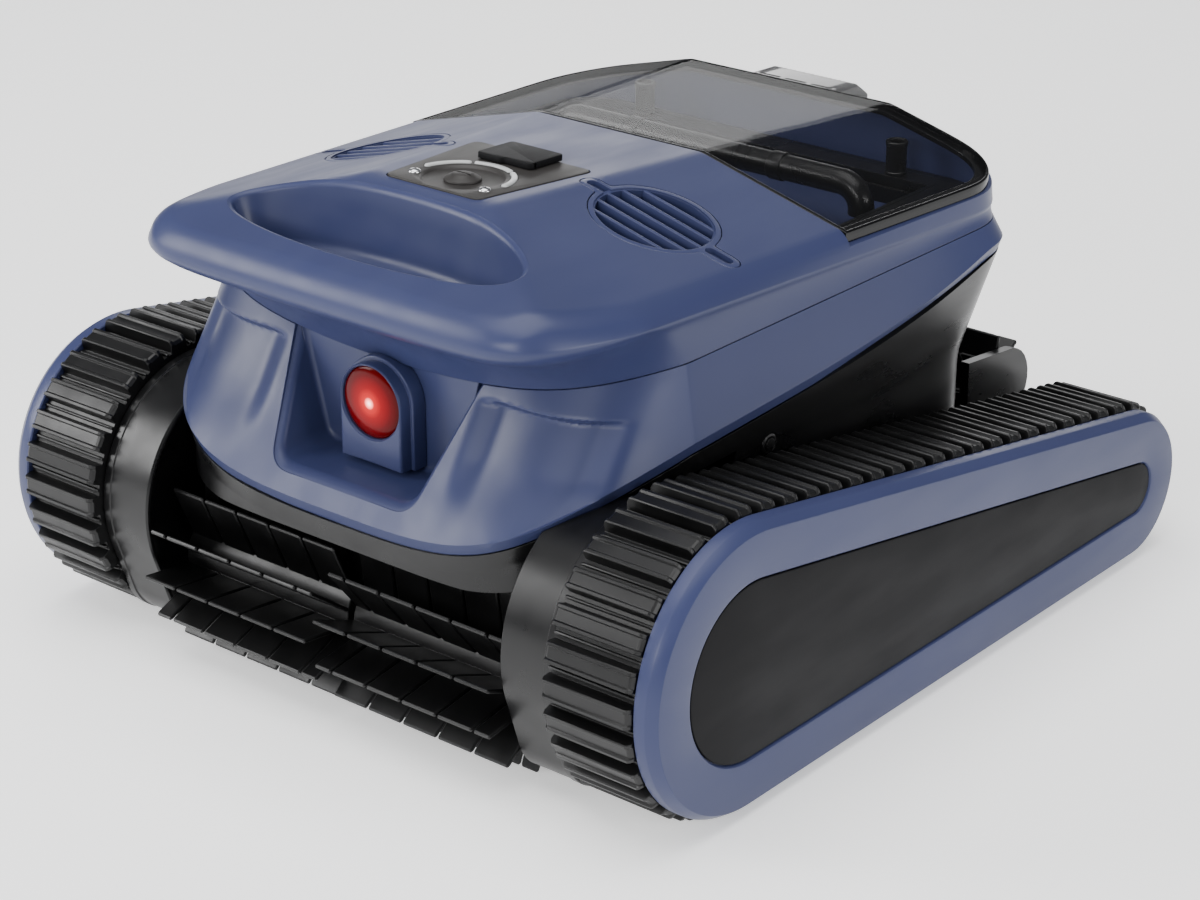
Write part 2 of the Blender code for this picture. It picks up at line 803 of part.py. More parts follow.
def control_panel():
    plate = plate_solid("control_panel", 0.0, PLATE_T - PLATE_PROUD, PLATE_PROUD)
    well = PLATE_PROUD - DIAL_WELL_DEPTH
    cut(plate, plate_rod("dial_well", 0, DIAL_BACK, DIAL_WELL_R, well, 0.02, 28))
    port_back = (FLAP_FRONT + FLAP_REAR) / 2
    cut(plate, plate_rod("port_hole", 0, port_back, CHARGE_R + GAP, -0.02, 0.02))
    head = PLATE_PROUD - 0.0010
    for side, word in SIDES:
        x = side * SCREW_X
        cut(plate, plate_rod("screw_hole", x, SCREW_BACK, SCREW_R + GAP, head, 0.02, 14))
        screw = plate_rod(f"panel_screw_{word}", x, SCREW_BACK, SCREW_R, head + GAP, head + 0.0022, 14)
        for turn in (0, 90):
            slot = box("cross", (-0.0018, -0.0004, 0.0), (0.0018, 0.0004, 0.004))
            slot.data.transform(Matrix.Rotation(RAD(turn), 4, "Z"))
            slot.data.transform(Matrix.Translation((x, SCREW_BACK - DIAL_BACK, head + 0.0032)))
            cut(screw, moved(slot, dial_frame()))
        place(screw, STEEL)
    for middle, word in ((30, "right"), (90, "rear"), (150, "left")):
        cut(plate, light_arc("light_slot", middle, GAP, -0.0008, 0.02))
        place(light_arc(f"light_bar_{word}", middle, 0.0, -0.0008 + GAP, PLATE_PROUD + 0.0006), LIGHT)
    place(plate, PLATE)
    dial = plate_rod("power_dial", 0, DIAL_BACK, DIAL_R, well + GAP, PLATE_PROUD + DIAL_PROUD, 24)
    groove = box("dial_groove", (-DIAL_R * 0.62, -0.0007, 0.0), (DIAL_R * 0.62, 0.0007, 0.004))
    groove.data.transform(Matrix.Translation((0, 0, PLATE_PROUD + DIAL_PROUD + 0.0010)))
    place(cut(dial, moved(groove, dial_frame())), PLATE)
    port = plate_rod("charge_port", 0, port_back, CHARGE_R, -PORT_DEPTH, PLATE_PROUD)
    cut(port, plate_rod("port_socket", 0, port_back, CHARGE_R - 0.0022, -PORT_DEPTH + 0.003, 0.02))
    place(port, MATT)
    charge_flap()


def charge_flap():
    """Square sealing flap over the charging port, hinged along its rear edge."""
    low = PLATE_PROUD + FLAP_GAP
    y0 = FLAP_FRONT - DIAL_BACK
    y1 = FLAP_REAR - DIAL_BACK
    half = FLAP_HALF
    radius = 0.0025
    outline = arc(half - radius, y1 - radius, radius, 0, 90, 3)
    outline += arc(-half + radius, y1 - radius, radius, 90, 180, 3)
    outline += [(-half, y0), (-half + 0.004, y0), (-half + 0.004, y0 - FLAP_TAB),
                (-half + 0.015, y0 - FLAP_TAB), (-half + 0.017, y0)]
    outline += arc(half - radius, y0 + radius, radius, 270, 360, 3)
    flap = moved(prism("charge_flap", outline, low, low + FLAP_T, "Z"), dial_frame())
    place(pivot_at(flap, dial_frame() @ Vector((0, y1, low))), MATT)


# ---------------------------------------------------------------- vents and pumps

def band_outline(y0, y1, radius):
    """The part of a disc between two parallel lines."""
    right = [(math.sqrt(radius ** 2 - y ** 2), y) for y in np.linspace(y0, y1, 4)]
    return right + [(-x, y) for x, y in reversed(right)]


def outlet(side, word):
    """Slatted round outlet, with the pump's impeller and motor on the same axis below it."""
    frame = facet_frame(side, vent_centre(side))
    bore = VENT_R - VENT_RING
    grille = moved(rod(f"outlet_grille_{word}", VENT_R, DUCT_DEPTH, (0, 0, 0), "Z", 28),
                   frame @ Matrix.Translation((0, 0, -DUCT_DEPTH / 2 - VENT_SUNK)))
    below = rod("duct_bore", bore, DUCT_DEPTH, (0, 0, 0), "Z", 28)
    cut(grille, moved(below, frame @ Matrix.Translation((0, 0, -DUCT_DEPTH / 2 - SLAT_H))))
    pitch = 2 * bore / (SLATS + 1)
    for i in range(SLATS + 1):
        y0 = -bore + i * pitch + (SLAT_T / 2 if i else 0.0009)
        y1 = -bore + (i + 1) * pitch - (SLAT_T / 2 if i < SLATS else 0.0009)
        gap = prism("slat_gap", band_outline(y0, y1, bore - 0.0002), -SLAT_H - 0.002, 0.02, "Z")
        cut(grille, moved(gap, frame))
    place(grille, BLUE)
    hub = rod(f"impeller_{word}", 0.0075, IMPELLER_H, (0, 0, 0), "Z", 16)
    middle = -SLAT_H - 0.0015 - IMPELLER_H / 2
    moved(hub, frame @ Matrix.Translation((0, 0, middle)))
    reach = bore - 0.0020
    for i in range(3):
        blade = box("blade", (-reach, -0.0011, -IMPELLER_H / 2 + 0.0006),
                    (reach, 0.0011, IMPELLER_H / 2 - 0.0006))
        turn = Matrix.Rotation(RAD(60 * i + 20), 4, "Z")
        join(hub, moved(blade, frame @ Matrix.Translation((0, 0, middle)) @ turn))
    place(hub, MATT)
    top = middle - IMPELLER_H / 2 - 0.0015
    flange = bore - GAP
    profile = [(0.0, top), (flange, top), (flange, top - 0.003), (MOTOR_R, top - 0.003),
               (MOTOR_R, top - MOTOR_L), (0.0, top - MOTOR_L)]
    motor = turned(f"pump_motor_{word}", profile, (0, 0, 0), "Z", 20)
    motor.matrix_world = frame
    for i in range(4):
        angle = RAD(90 * i + 45)
        port = rod("flow_hole", 0.0036, 0.02, (0, 0, 0), "Z", 8)
        across = (flange + MOTOR_R) / 2
        shift = Matrix.Translation((across * math.cos(angle), across * math.sin(angle), top))
        cut(motor, moved(port, frame @ shift))
    place(motor, COPPER)


# ---------------------------------------------------------------- lid

def lid_slab(name, inset, front, thickness):
    """The part of the deck's facets behind the lid's front edge, this thick."""
    outline = shoulder_plan(inset)
    slab = under_facets(name, [ring(outline, 0.15), ring(outline, TOP)])
    under = under_facets("lid_under", [ring(shoulder_plan(-0.01), 0.10),
                                       ring(shoulder_plan(-0.01), TOP)], thickness)
    cut(slab, under)
    return pivot_at(clip_front(slab, "lid_front", front), lid_hinge())


def lid_hinge():
    y = back(LID_BACK)
    return Vector((0, y, deck_height(0, y)))


def lid():
    """Smoked window in a black rim, hinged at its front edge, with a finger tab behind."""
    place(lid_slab("lid_window", LID_RIM_W + GAP, LID_BACK + LID_FRONT_W + GAP, LID_T), SMOKE)
    rim = lid_slab("lid_rim", LID_EDGE, LID_BACK + GAP, LID_RIM_T)
    hole = skin("rim_hole", [ring(shoulder_plan(LID_RIM_W), 0.10),
                             ring(shoulder_plan(LID_RIM_W), TOP)])
    cut(rim, clip_front(hole, "rim_hole_front", LID_BACK + LID_FRONT_W))
    place(rim, BLACK)
    y0 = fore(SHOULDER_REAR) - 0.004
    y1 = fore(SHOULDER_REAR) + TAB_REACH
    top = deck_height(0, fore(SHOULDER_REAR)) - 0.0006
    side = [(y0, top), (y1 - 0.011, top - 0.0016), (y1, top - 0.009), (y1, top - 0.0135),
            (y0 + 0.008, top - TAB_T - 0.003), (y0, top - TAB_T)]
    tab = prism("lid_tab", side, -TAB_HALF, TAB_HALF, "X")
    rings = [ring(lip_plan(-GAP), 0.16), ring(skirt_plan(-GAP), skirt_z), ring(shoulder_plan(-GAP), TOP)]
    cut(tab, skin("hull_back", rings))
    place(pivot_at(tab, lid_hinge()), SMOKE)


# ---------------------------------------------------------------- filter and what is inside

def bay_box(name, grow, low, high):
    return box(name, (-BAY_HALF - grow, back(BAY_FRONT - grow), low),
               (BAY_HALF + grow, fore(BAY_REAR - grow), high))


def mouth_box(name, low, high, grow=0.0):
    return box(name, (-INTAKE_HALF - grow, mouth_y()[0] - grow, low),
               (INTAKE_HALF + grow, mouth_y()[1] + grow, high))


def mouth_y():
    middle = (back(BAY_FRONT) + fore(BAY_REAR)) / 2
    return middle - INTAKE_W / 2, middle + INTAKE_W / 2


def filter_unit():
    """The open-topped bay under the lid, and the basket of closed mesh walls that stands in it."""
    floor = FLOOR_Z + TUB_WALL + GAP
    bay = bay_box("filter_bay", 0.0, floor, BAY_TOP)
    join(bay, bay_box("bay_flange", BAY_FLANGE, BAY_TOP - 0.003, BAY_TOP - 0.0002))
    cut(bay, bay_box("bay_inside", -BAY_WALL, floor + BAY_WALL, 0.4))
    cut(bay, mouth_box("bay_mouth", 0.0, 0.06))
    window = box("bay_outlet", (-0.08, back(BAY_FRONT - 0.03), 0.110), (0.08, back(BAY_FRONT + 0.01), 0.170))
    cut(bay, window)
    place(bay, BLACK)
    low = floor + BAY_WALL + GAP
    inset = BAY_WALL + BASKET_GAP
    basket = bay_box("filter_basket", -inset, low, BASKET_TOP)
    cut(basket, bay_box("basket_inside", -inset - BASKET_WALL, low + BASKET_WALL, 0.4))
    cut(basket, mouth_box("basket_mouth", 0.0, 0.06))
    place(basket, BLACK)
    basket_handle(BAY_HALF - inset)
    for end, word in ((0, "front"), (1, "rear")):
        intake_flap(end, word, low + BASKET_WALL + GAP)
    for side, word in SIDES:
        post = rod(f"lid_post_{word}", POST_R, POST_H, (0, 0, 0), "Z", 16)
        cut(post, rod("post_bore", POST_R - 0.0018, POST_H, (0, 0, 0.004), "Z", 12))
        shift = Vector((side * POST_X, fore(BAY_REAR - BAY_FLANGE) - POST_R - 0.0015,
                        BAY_TOP + POST_H / 2 + GAP))
        for step in post.modifiers:
            step.object.location += shift
        post.location = shift
        place(post, BLACK)


def basket_handle(half):
    """Round grip across the basket, turned down at both ends onto its side walls."""
    y = (back(BAY_FRONT) + fore(BAY_REAR)) / 2 + 0.008
    x = half - 0.0010
    foot = BASKET_TOP + GAP
    curve = bpy.data.curves.new("basket_handle", "CURVE")
    curve.dimensions = "3D"
    curve.bevel_depth = HANDLE_R
    curve.bevel_resolution = 2
    curve.use_fill_caps = True
    points = [(-x + 0.006, foot)] + arc(-x + 0.006 + HANDLE_BEND, HANDLE_Z - HANDLE_BEND,
                                        HANDLE_BEND, 180, 90, 4)
    points += [(-a, b) for a, b in reversed(points)]
    path = curve.splines.new("POLY")
    path.points.add(len(points) - 1)
    for point, (a, b) in zip(path.points, points):
        point.co = (a, y, b, 1.0)
    holder = bpy.data.objects.new("handle_path", curve)
    CUTTERS.objects.link(holder)
    bpy.context.view_layer.update()
    graph = bpy.context.evaluated_depsgraph_get()
    mesh = bpy.data.meshes.new_from_object(holder.evaluated_get(graph))
    bpy.data.objects.remove(holder)
    bm = bmesh.new()
    bm.from_mesh(mesh)
    bmesh.ops.remove_doubles(bm, verts=bm.verts, dist=0.00001)
    place(from_bmesh("basket_handle", bm), BLACK)


def intake_flap(end, word, z):
    """One of two one-way flaps that close the intake from inside and swing up with the flow."""
    y0, y1 = mouth_y()
    middle = (y0 + y1) / 2
    if end == 0:
        low = y0 - FLAP_LAP
        high = middle - FLAP_SPLIT
        pin = low
    else:
        low = middle + FLAP_SPLIT
        high = y1 + FLAP_LAP
        pin = high
    half = INTAKE_HALF + FLAP_LAP
    flap = box(f"intake_flap_{word}", (-half, low, z), (half, high, z + INTAKE_FLAP_T))
    place(pivot_at(flap, (0, pin, z)), RUBBER, smooth=False)


def inner_boxes():
    floor = FLOOR_Z + TUB_WALL + GAP
    y0 = back(BATTERY_BACK)
    battery = box("battery_pack", (-BATTERY[0] / 2, y0, floor),
                  (BATTERY[0] / 2, y0 + BATTERY[1], floor + BATTERY[2]), 0.003)
    place(battery, GREY)
    low = floor + BATTERY[2] + GAP
    board = box("control_box", (-BOARD[0] / 2, y0 + 0.004, low),
                (BOARD[0] / 2, y0 + 0.004 + BOARD[1], low + BOARD[2]), 0.002)
    place(board, GREY)


# ---------------------------------------------------------------- tracks

def loop_point(share, offset):
    """Point and outward normal on the track's outline, this far inside the tips; share runs 0 to 1."""
    slope = math.asin((FRONT_TIP_R - REAR_TIP_R) / math.hypot(WHEELBASE, FRONT_TIP_R - REAR_TIP_R))
    straight = WHEELBASE
    top_angle = math.pi / 2 - 2 * slope
    front_turn = 3 * math.pi / 2 - top_angle
    rear_turn = top_angle + math.pi / 2
    lengths = (straight, front_turn * FRONT_TIP_R, straight, rear_turn * REAR_TIP_R)
    s = (share % 1.0) * sum(lengths)
    front = Vector((AXLE_FRONT_Y, FRONT_TIP_R))
    rear = Vector((AXLE_REAR_Y, REAR_TIP_R))
    if s < lengths[0]:
        normal = Vector((0.0, -1.0))
        spot = Vector((AXLE_REAR_Y - s, 0.0))
        return spot - normal * offset, normal
    s -= lengths[0]
    if s < lengths[1]:
        angle = 1.5 * math.pi - s / FRONT_TIP_R
        normal = Vector((math.cos(angle), math.sin(angle)))
        return front + normal * (FRONT_TIP_R - offset), normal
    s -= lengths[1]
    if s < lengths[2]:
        normal = Vector((math.cos(top_angle), math.sin(top_angle)))
        start = front + normal * FRONT_TIP_R
        finish = rear + normal * REAR_TIP_R
        return start.lerp(finish, s / lengths[2]) - normal * offset, normal
    s -= lengths[2]
    angle = top_angle - s / REAR_TIP_R
    normal = Vector((math.cos(angle), math.sin(angle)))
    return rear + normal * (REAR_TIP_R - offset), normal


LOOP_STEPS = 56
RECESS_START = 0.5 / LOOP_STEPS


def loop_outline(offset, count=LOOP_STEPS, start=0.0):
    return [tuple(loop_point(start + i / count, offset)[0]) for i in range(count)]


def track(side, word):
    """Rubber belt with square lugs, standing on its lug tips."""
    low, high = sorted((side * SIDE, side * (SIDE + TRACK_W)))
    outer = []
    inner = []
    for i in range(LUG_COUNT):
        seat = tuple(loop_point(i / LUG_COUNT, LUG_H + BELT_T)[0])
        for edge, depth in ((-0.58, LUG_H), (-0.5, 0.0), (0.5, 0.0), (0.58, LUG_H)):
            share = (i + edge * LUG_SHARE) / LUG_COUNT
            outer.append(tuple(loop_point(share, depth)[0]))
            inner.append(seat)
    rings = [[(x, y, z) for y, z in outline] for x, outline in
             ((low, inner), (low, outer), (high, outer), (high, inner))]
    place(skin(f"track_{word}", rings, ring_closed=True), RUBBER, smooth=False)


def at_x(x, outline):
    return [(x, y, z) for y, z in outline]


def side_cover(side, word):
    """Outer cover of a track, with the wheels' axle stubs on its inner face and a recess outside."""
    inner_x = side * (SIDE + TRACK_W + GAP)
    outer_x = side * WIDTH / 2
    chamfer = side * COVER_CHAMFER
    cover = skin(f"side_cover_{word}", [
        at_x(inner_x, loop_outline(COVER_INSET)), at_x(outer_x - chamfer, loop_outline(COVER_INSET)),
        at_x(outer_x, loop_outline(COVER_INSET + 0.6 * COVER_CHAMFER))])
    depth = side * (PANEL_T + GAP)
    recess = loop_outline(COVER_INSET + PANEL_INSET, start=RECESS_START)
    cut(cover, skin("cover_recess", [at_x(outer_x - depth, recess), at_x(outer_x + side * 0.01, recess)]))
    stub = TRACK_W - 0.0025
    for y, z, radius in wheel_places():
        centre = (inner_x - side * (stub / 2 - 0.002), y, z)
        join(cover, rod("stub", AXLE_R, stub + 0.004, centre, "X", 12))
    place(cover, BLUE)
    panel = skin(f"inset_panel_{word}", [at_x(outer_x - side * PANEL_T,
                                              loop_outline(COVER_INSET + PANEL_INSET + GAP, start=RECESS_START)),
                                         at_x(outer_x - side * 0.0003,
                                              loop_outline(COVER_INSET + PANEL_INSET + GAP, start=RECESS_START))])
    place(panel, MATT)


def wheel_places():
    """Y, Z and radius of the drive wheel, the idler and the road roller."""
    belt = LUG_H + BELT_T + WHEEL_GAP
    return ((AXLE_FRONT_Y, FRONT_TIP_R, FRONT_TIP_R - belt),
            (AXLE_REAR_Y, REAR_TIP_R, REAR_TIP_R - belt),
            (fore(ROAD_FORE), belt + ROAD_R, ROAD_R))


def wheels(side, word):
    middle = side * (SIDE + TRACK_W / 2)
    names = ("drive_wheel", "idler_wheel", "road_roller")
    for name, (y, z, radius) in zip(names, wheel_places()):
        half = WHEEL_W / 2
        hub = AXLE_R + 0.006
        web = half * 0.35
        profile = [(AXLE_R + GAP, half), (hub, half)]
        if name == "drive_wheel":
            profile += [(hub, web), (radius - 0.006, web), (radius - 0.006, half)]
        profile += [(radius, half), (radius, -half), (AXLE_R + GAP, -half), (AXLE_R + GAP, half)]
        steps = 28 if radius > 0.02 else 16
        place(turned(f"{name}_{word}", profile, (middle, y, z), "X", steps), MATT)


def track_frame(side, word):
    """Beam inside the belt between the wheels, that ties the cover to the tub."""
    low, high = sorted((side * (SIDE - HULL_IN + GAP), side * (SIDE + TRACK_W)))
    belt = LUG_H + BELT_T + 0.004
    y0 = AXLE_FRONT_Y + FRONT_TIP_R
    y1 = AXLE_REAR_Y - REAR_TIP_R
    z0 = LUG_H + BELT_T + WHEEL_GAP + 2 * ROAD_R + 0.003

    def under_belt(y):
        share = (y - AXLE_FRONT_Y) / WHEELBASE
        slope = 2 * (FRONT_TIP_R - REAR_TIP_R) / WHEELBASE
        return 2 * FRONT_TIP_R - slope * WHEELBASE * share - 1.03 * belt - 0.002

    outline = [(y0, z0), (y1, z0), (y1, under_belt(y1)), (y0, under_belt(y0))]
    place(prism(f"track_frame_{word}", outline, low, high, "X"), MATT)


def fender_outline(inset):
    """Round over the wheel's axle, with a toe that reaches down in front, as (y, z)."""
    cy, cz, radius = FENDER_TOE
    toe = Vector((AXLE_FRONT_Y + cy, cz))
    axle = Vector((AXLE_FRONT_Y, FRONT_TIP_R))
    line = toe - axle
    open_angle = math.degrees(math.acos((FENDER_R - radius) / line.length))
    heading = math.degrees(math.atan2(line.y, line.x))
    points = arc(axle.x, axle.y, FENDER_R - inset, heading + open_angle,
                 heading + 360 - open_angle, 20)
    points += arc(toe.x, toe.y, radius - inset, heading - open_angle, heading + open_angle, 6)
    return points


def shell_envelope(name, grow):
    rings = [ring(rim_plan(-grow), rim_z, -grow), ring(rim_plan(-grow), 0.25)]
    return skin(name, rings)


def fender(side, word):
    """Round inner guard of the front wheel, open towards the wheel, with the drive motor inside."""
    outer = side * (SIDE - GAP)
    inner = side * (SIDE - FENDER_W)
    low, high = sorted((inner, outer))
    guard = prism(f"fender_{word}", fender_outline(0.0), low, high, "X")
    low, high = sorted((inner + side * FENDER_WALL, outer + side * 0.01))
    cut(guard, prism("fender_inside", fender_outline(FENDER_WALL), low, high, "X"))
    cut(guard, shell_envelope("shell_space", SHELL_ROOM))
    place(guard, BLACK)
    length = FENDER_W - FENDER_WALL - 0.004
    middle = inner + side * (FENDER_WALL + 0.0005 + length / 2)
    place(rod(f"drive_motor_{word}", DRIVE_R, length, (middle, AXLE_FRONT_Y, FRONT_TIP_R), "X", 28),
          COPPER)


# ---------------------------------------------------------------- brushes

def blade_outline(y, z, core, tip, rows, turn, sweep):
    """Star of swept blades about a round core, counter-clockwise."""
    points = []
    step = 360.0 / rows
    base = math.degrees(BLADE_T / 2 / core)
    end = math.degrees(BLADE_T / 2 / tip)
    for i in range(rows):
        middle = turn + i * step
        for angle, radius in ((middle - base, core), (middle - end + sweep, tip),
                              (middle + end + sweep, tip), (middle + base, core),
                              (middle + base + (step - 2 * base) / 2, core)):
            a = RAD(angle)
            points.append((y + radius * math.cos(a), z + radius * math.sin(a)))
    return points


def bladed_roller(name, x0, x1, y, z, core, tip, rows, turn, sweep, bore):
    outline = blade_outline(y, z, core, tip, rows, turn, sweep)
    hole = [(y + bore * math.cos(a), z + bore * math.sin(a))
            for a in np.radians(turn + np.arange(len(outline)) * 360 / len(outline))]
    rings = [at_x(x0, hole), at_x(x0, outline), at_x(x1, outline), at_x(x1, hole)]
    roller = skin(name, rings, ring_closed=True)
    roller.data.transform(Matrix.Translation((-(x0 + x1) / 2, -y, -z)))
    roller.location = ((x0 + x1) / 2, y, z)
    return place(roller, RUBBER, smooth=False)


def brushes():
    y = back(BRUSH_BACK)
    half = SIDE - FENDER_W - BRUSH_END
    place(rod("brush_axle", BRUSH_AXLE_R, 2 * (half + BRUSH_END - GAP), (0, y, BRUSH_Z), "X", 16), STEEL)
    for side, word in SIDES:
        x0, x1 = sorted((side * BRUSH_GAP / 2, side * half))
        turn = 0.0 if side > 0 else 180.0 / BRUSH_ROWS
        bladed_roller(f"front_brush_{word}", x0, x1, y, BRUSH_Z, BRUSH_CORE_R, BRUSH_TIP_R,
                      BRUSH_ROWS, turn, BLADE_SWEEP, BRUSH_AXLE_R + GAP)
    y = fore(ROLLER_FORE)
    half = ROLLER_HALF
    bladed_roller("rear_roller", -half, half, y, ROLLER_Z, ROLLER_R, ROLLER_TIP_R, ROLLER_ROWS,
                  12.0, BLADE_SWEEP, ROLLER_PIN_R + GAP)
    for side, word in SIDES:
        wall = fore(TUB_REAR) + 0.0004
        outline = [(wall, ROLLER_Z - ARM_R), (wall, ROLLER_Z + ARM_R + 0.004)]
        outline += arc(y, ROLLER_Z, ARM_R, 80, -90, 12)
        low, high = sorted((side * (half + 0.001), side * (half + 0.001 + ARM_T)))
        arm = prism(f"roller_arm_{word}", outline, low, high, "X")
        cut(arm, skin("tub_back", [ring(hull_plan(-GAP), -0.1), ring(hull_plan(-GAP), 0.3)]))
        pin = rod("roller_pin", ROLLER_PIN_R, 0.012, (side * (half - 0.003), y, ROLLER_Z), "X", 12)
        place(join(arm, pin), BLACK)


def side_plugs():
    """Round screw caps through the tub's flanks, above the tracks."""
    for side, word in SIDES:
        x = side * (SIDE - HULL_IN - TUB_WALL)
        y = back(PLUG_BACK)
        cap = rod(f"side_plug_{word}", PLUG_R, PLUG_L, (x + side * PLUG_L / 2, y, PLUG_Z), "X", 16)
        step = rod("cap_step", PLUG_R * 0.62, 0.0014, (x + side * PLUG_L, y, PLUG_Z), "X", 16)
        place(join(cap, step), BLACK)


def main():
    clear_scene()
    top_deck()
    mid_shell()
    status_lamp()
    lower_tub()
    control_panel()
    lid()
    filter_unit()
    inner_boxes()
    brushes()
    side_plugs()
    for side, word in SIDES:
        outlet(side, word)
        track(side, word)
        side_cover(side, word)
        wheels(side, word)
        track_frame(side, word)
        fender(side, word)


PARTS = new_collection(NAME)
CUTTERS = new_collection("cutters", hidden=True)

if __name__ == "__main__":
    main()
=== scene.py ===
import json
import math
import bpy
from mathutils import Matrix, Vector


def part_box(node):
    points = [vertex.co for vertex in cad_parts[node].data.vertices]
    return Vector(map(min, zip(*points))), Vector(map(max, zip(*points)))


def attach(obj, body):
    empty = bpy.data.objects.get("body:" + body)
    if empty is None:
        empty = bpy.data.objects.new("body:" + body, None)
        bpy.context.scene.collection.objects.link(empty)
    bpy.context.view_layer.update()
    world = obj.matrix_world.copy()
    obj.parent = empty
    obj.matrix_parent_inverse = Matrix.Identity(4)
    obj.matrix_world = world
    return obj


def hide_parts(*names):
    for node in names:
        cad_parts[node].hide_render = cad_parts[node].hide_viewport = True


bl_info = {
    "name": "Pool Cleaner",
    "version": (1, 0, 0),
    "blender": (4, 5, 0),
    "location": "3D View > Sidebar > Pool Cleaner",
    "description": "Adds the finished surfaces of a tracked pool cleaner to its packed frame",
    "category": "Add Mesh",
}

import bmesh
import bpy
import numpy as np
from mathutils import Vector

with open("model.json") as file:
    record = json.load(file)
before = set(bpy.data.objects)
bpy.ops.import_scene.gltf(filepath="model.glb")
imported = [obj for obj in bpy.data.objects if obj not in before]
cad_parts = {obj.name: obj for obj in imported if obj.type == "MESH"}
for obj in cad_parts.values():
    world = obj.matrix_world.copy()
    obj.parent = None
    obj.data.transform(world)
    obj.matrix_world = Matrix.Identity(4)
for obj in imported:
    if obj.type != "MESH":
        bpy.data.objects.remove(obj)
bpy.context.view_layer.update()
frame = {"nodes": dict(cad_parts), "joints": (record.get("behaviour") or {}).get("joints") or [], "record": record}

SIDES = ((1, "right"), (-1, "left"))
JOINTS = {joint["name"]: joint for joint in frame["joints"]}
AXLE_Y, FRONT_R = JOINTS["drive_spin_right"]["pos_m"][1:]
REAR_Y, REAR_R = JOINTS["idler_spin_right"]["pos_m"][1:]
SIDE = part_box("track_right")[0].x
TRACK_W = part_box("track_right")[1].x - SIDE
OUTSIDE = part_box("side_cover_right")[1].x
LID_Y = JOINTS["lid_hinge"]["pos_m"][1]
TAU = 2.0 * math.pi


# ------------------------------------------------------------------ sizes and colours a user may change

def length(name, text, default):
    return bpy.props.FloatProperty(name=name, description=text, default=default, unit="LENGTH",
                                   precision=5)


def colour(name, text, default):
    return bpy.props.FloatVectorProperty(name=name, description=text, default=default, size=3,
                                         subtype="COLOR", min=0.0, max=1.0)


class CleanerSizes(bpy.types.PropertyGroup):
    """Sizes of edges, seams and small details"""
    shell_wall: length("Shell wall", "Thickness of the moulded shells", 0.0026)
    seam: length("Seam", "Gap between neighbouring pieces", 0.0005)
    shoulder: length("Shoulder", "Width of the deck's rounded shoulder", 0.0046)
    mouth_round: length("Mouth rounding", "Rounding of the carrying pocket's mouth", 0.0034)
    lug_height: length("Lug height", "Height of the track's lugs", 0.0065)
    belt: length("Belt", "Thickness of the track between its lugs", 0.0030)
    cover_edge: length("Cover edge", "Width of the side cover's chamfered edge", 0.0048)


class CleanerColours(bpy.types.PropertyGroup):
    """Colours of the moulded plastics, the rubber and the lamp"""
    shell: colour("Shell", "Slate blue of the shells", (0.029, 0.036, 0.092))
    black: colour("Black", "Black of the chassis", (0.0024, 0.0024, 0.0027))
    rubber: colour("Rubber", "Black of tracks and brushes", (0.0024, 0.0024, 0.0026))
    plate: colour("Plate", "Warm grey of the control panel", (0.022, 0.020, 0.019))
    smoke: colour("Smoke", "Tint of the lid's window", (0.23, 0.23, 0.24))
    lamp: colour("Lamp", "Red of the status lamp", (0.60, 0.004, 0.006))


# ------------------------------------------------------------------ meshes from arrays

def grid(points, around=True, caps=(True, True)):
    """Quads over rows of points; around joins the last column to the first, a cap closes an end row."""
    rows, cols = points.shape[:2]
    index = np.arange(rows * cols).reshape(rows, cols)
    here = index if around else index[:, :-1]
    there = np.roll(index, -1, axis=1) if around else index[:, 1:]
    faces = [np.stack([here[:-1], there[:-1], there[1:], here[1:]], -1).reshape(-1, 4)]
    if caps[0]:
        faces.append(index[:1, ::-1])
    if caps[1]:
        faces.append(index[-1:])
    return points, faces


def ring_grid(points):
    """Quads over rows of points that close on themselves both ways, as on a hose bent to a ring."""
    return grid(np.concatenate([points, points[:1]]), caps=(False, False))


def raw(name, *shapes):
    """One object of several (points, faces) shapes, its seams merged and its faces turned outwards."""
    corners, sizes, points = [], [], []
    first = 0
    for cloud, blocks in shapes:
        cloud = np.asarray(cloud, float).reshape(-1, 3)
        for block in blocks:
            corners.append(block.ravel() + first)
            sizes.append(np.full(len(block), block.shape[1]))
        points.append(cloud)
        first += len(cloud)
    points, corners, sizes = map(np.concatenate, (points, corners, sizes))
    mesh = bpy.data.meshes.new(name)
    mesh.vertices.add(len(points))
    mesh.vertices.foreach_set("co", points.astype(np.float32).ravel())
    mesh.loops.add(len(corners))
    mesh.loops.foreach_set("vertex_index", corners.astype(np.int32))
    mesh.polygons.add(len(sizes))
    mesh.polygons.foreach_set("loop_start", (np.cumsum(sizes) - sizes).astype(np.int32))
    mesh.update(calc_edges=True)
    bm = bmesh.new()
    bm.from_mesh(mesh)
    bmesh.ops.remove_doubles(bm, verts=bm.verts, dist=0.000004)
    bmesh.ops.dissolve_degenerate(bm, edges=bm.edges, dist=0.000001)
    bmesh.ops.recalc_face_normals(bm, faces=bm.faces)
    bm.to_mesh(mesh)
    bm.free()
    obj = bpy.data.objects.new(name, mesh)
    bpy.context.scene.collection.objects.link(obj)
    return obj


def settle(obj):
    """Turns an object's modifiers into its mesh."""
    bpy.context.view_layer.update()
    graph = bpy.context.evaluated_depsgraph_get()
    mesh = bpy.data.meshes.new_from_object(obj.evaluated_get(graph))
    obj.modifiers.clear()
    obj.data = mesh
    return obj


def combine(obj, others, operation):
    for other in others:
        step = obj.modifiers.new(operation.title(), "BOOLEAN")
        step.operation = operation
        step.object = other
    settle(obj)
    for other in others:
        bpy.data.objects.remove(other)
    return obj


def carve(obj, *others):
    return combine(obj, others, "DIFFERENCE")


def weld(obj, *others):
    return combine(obj, others, "UNION")


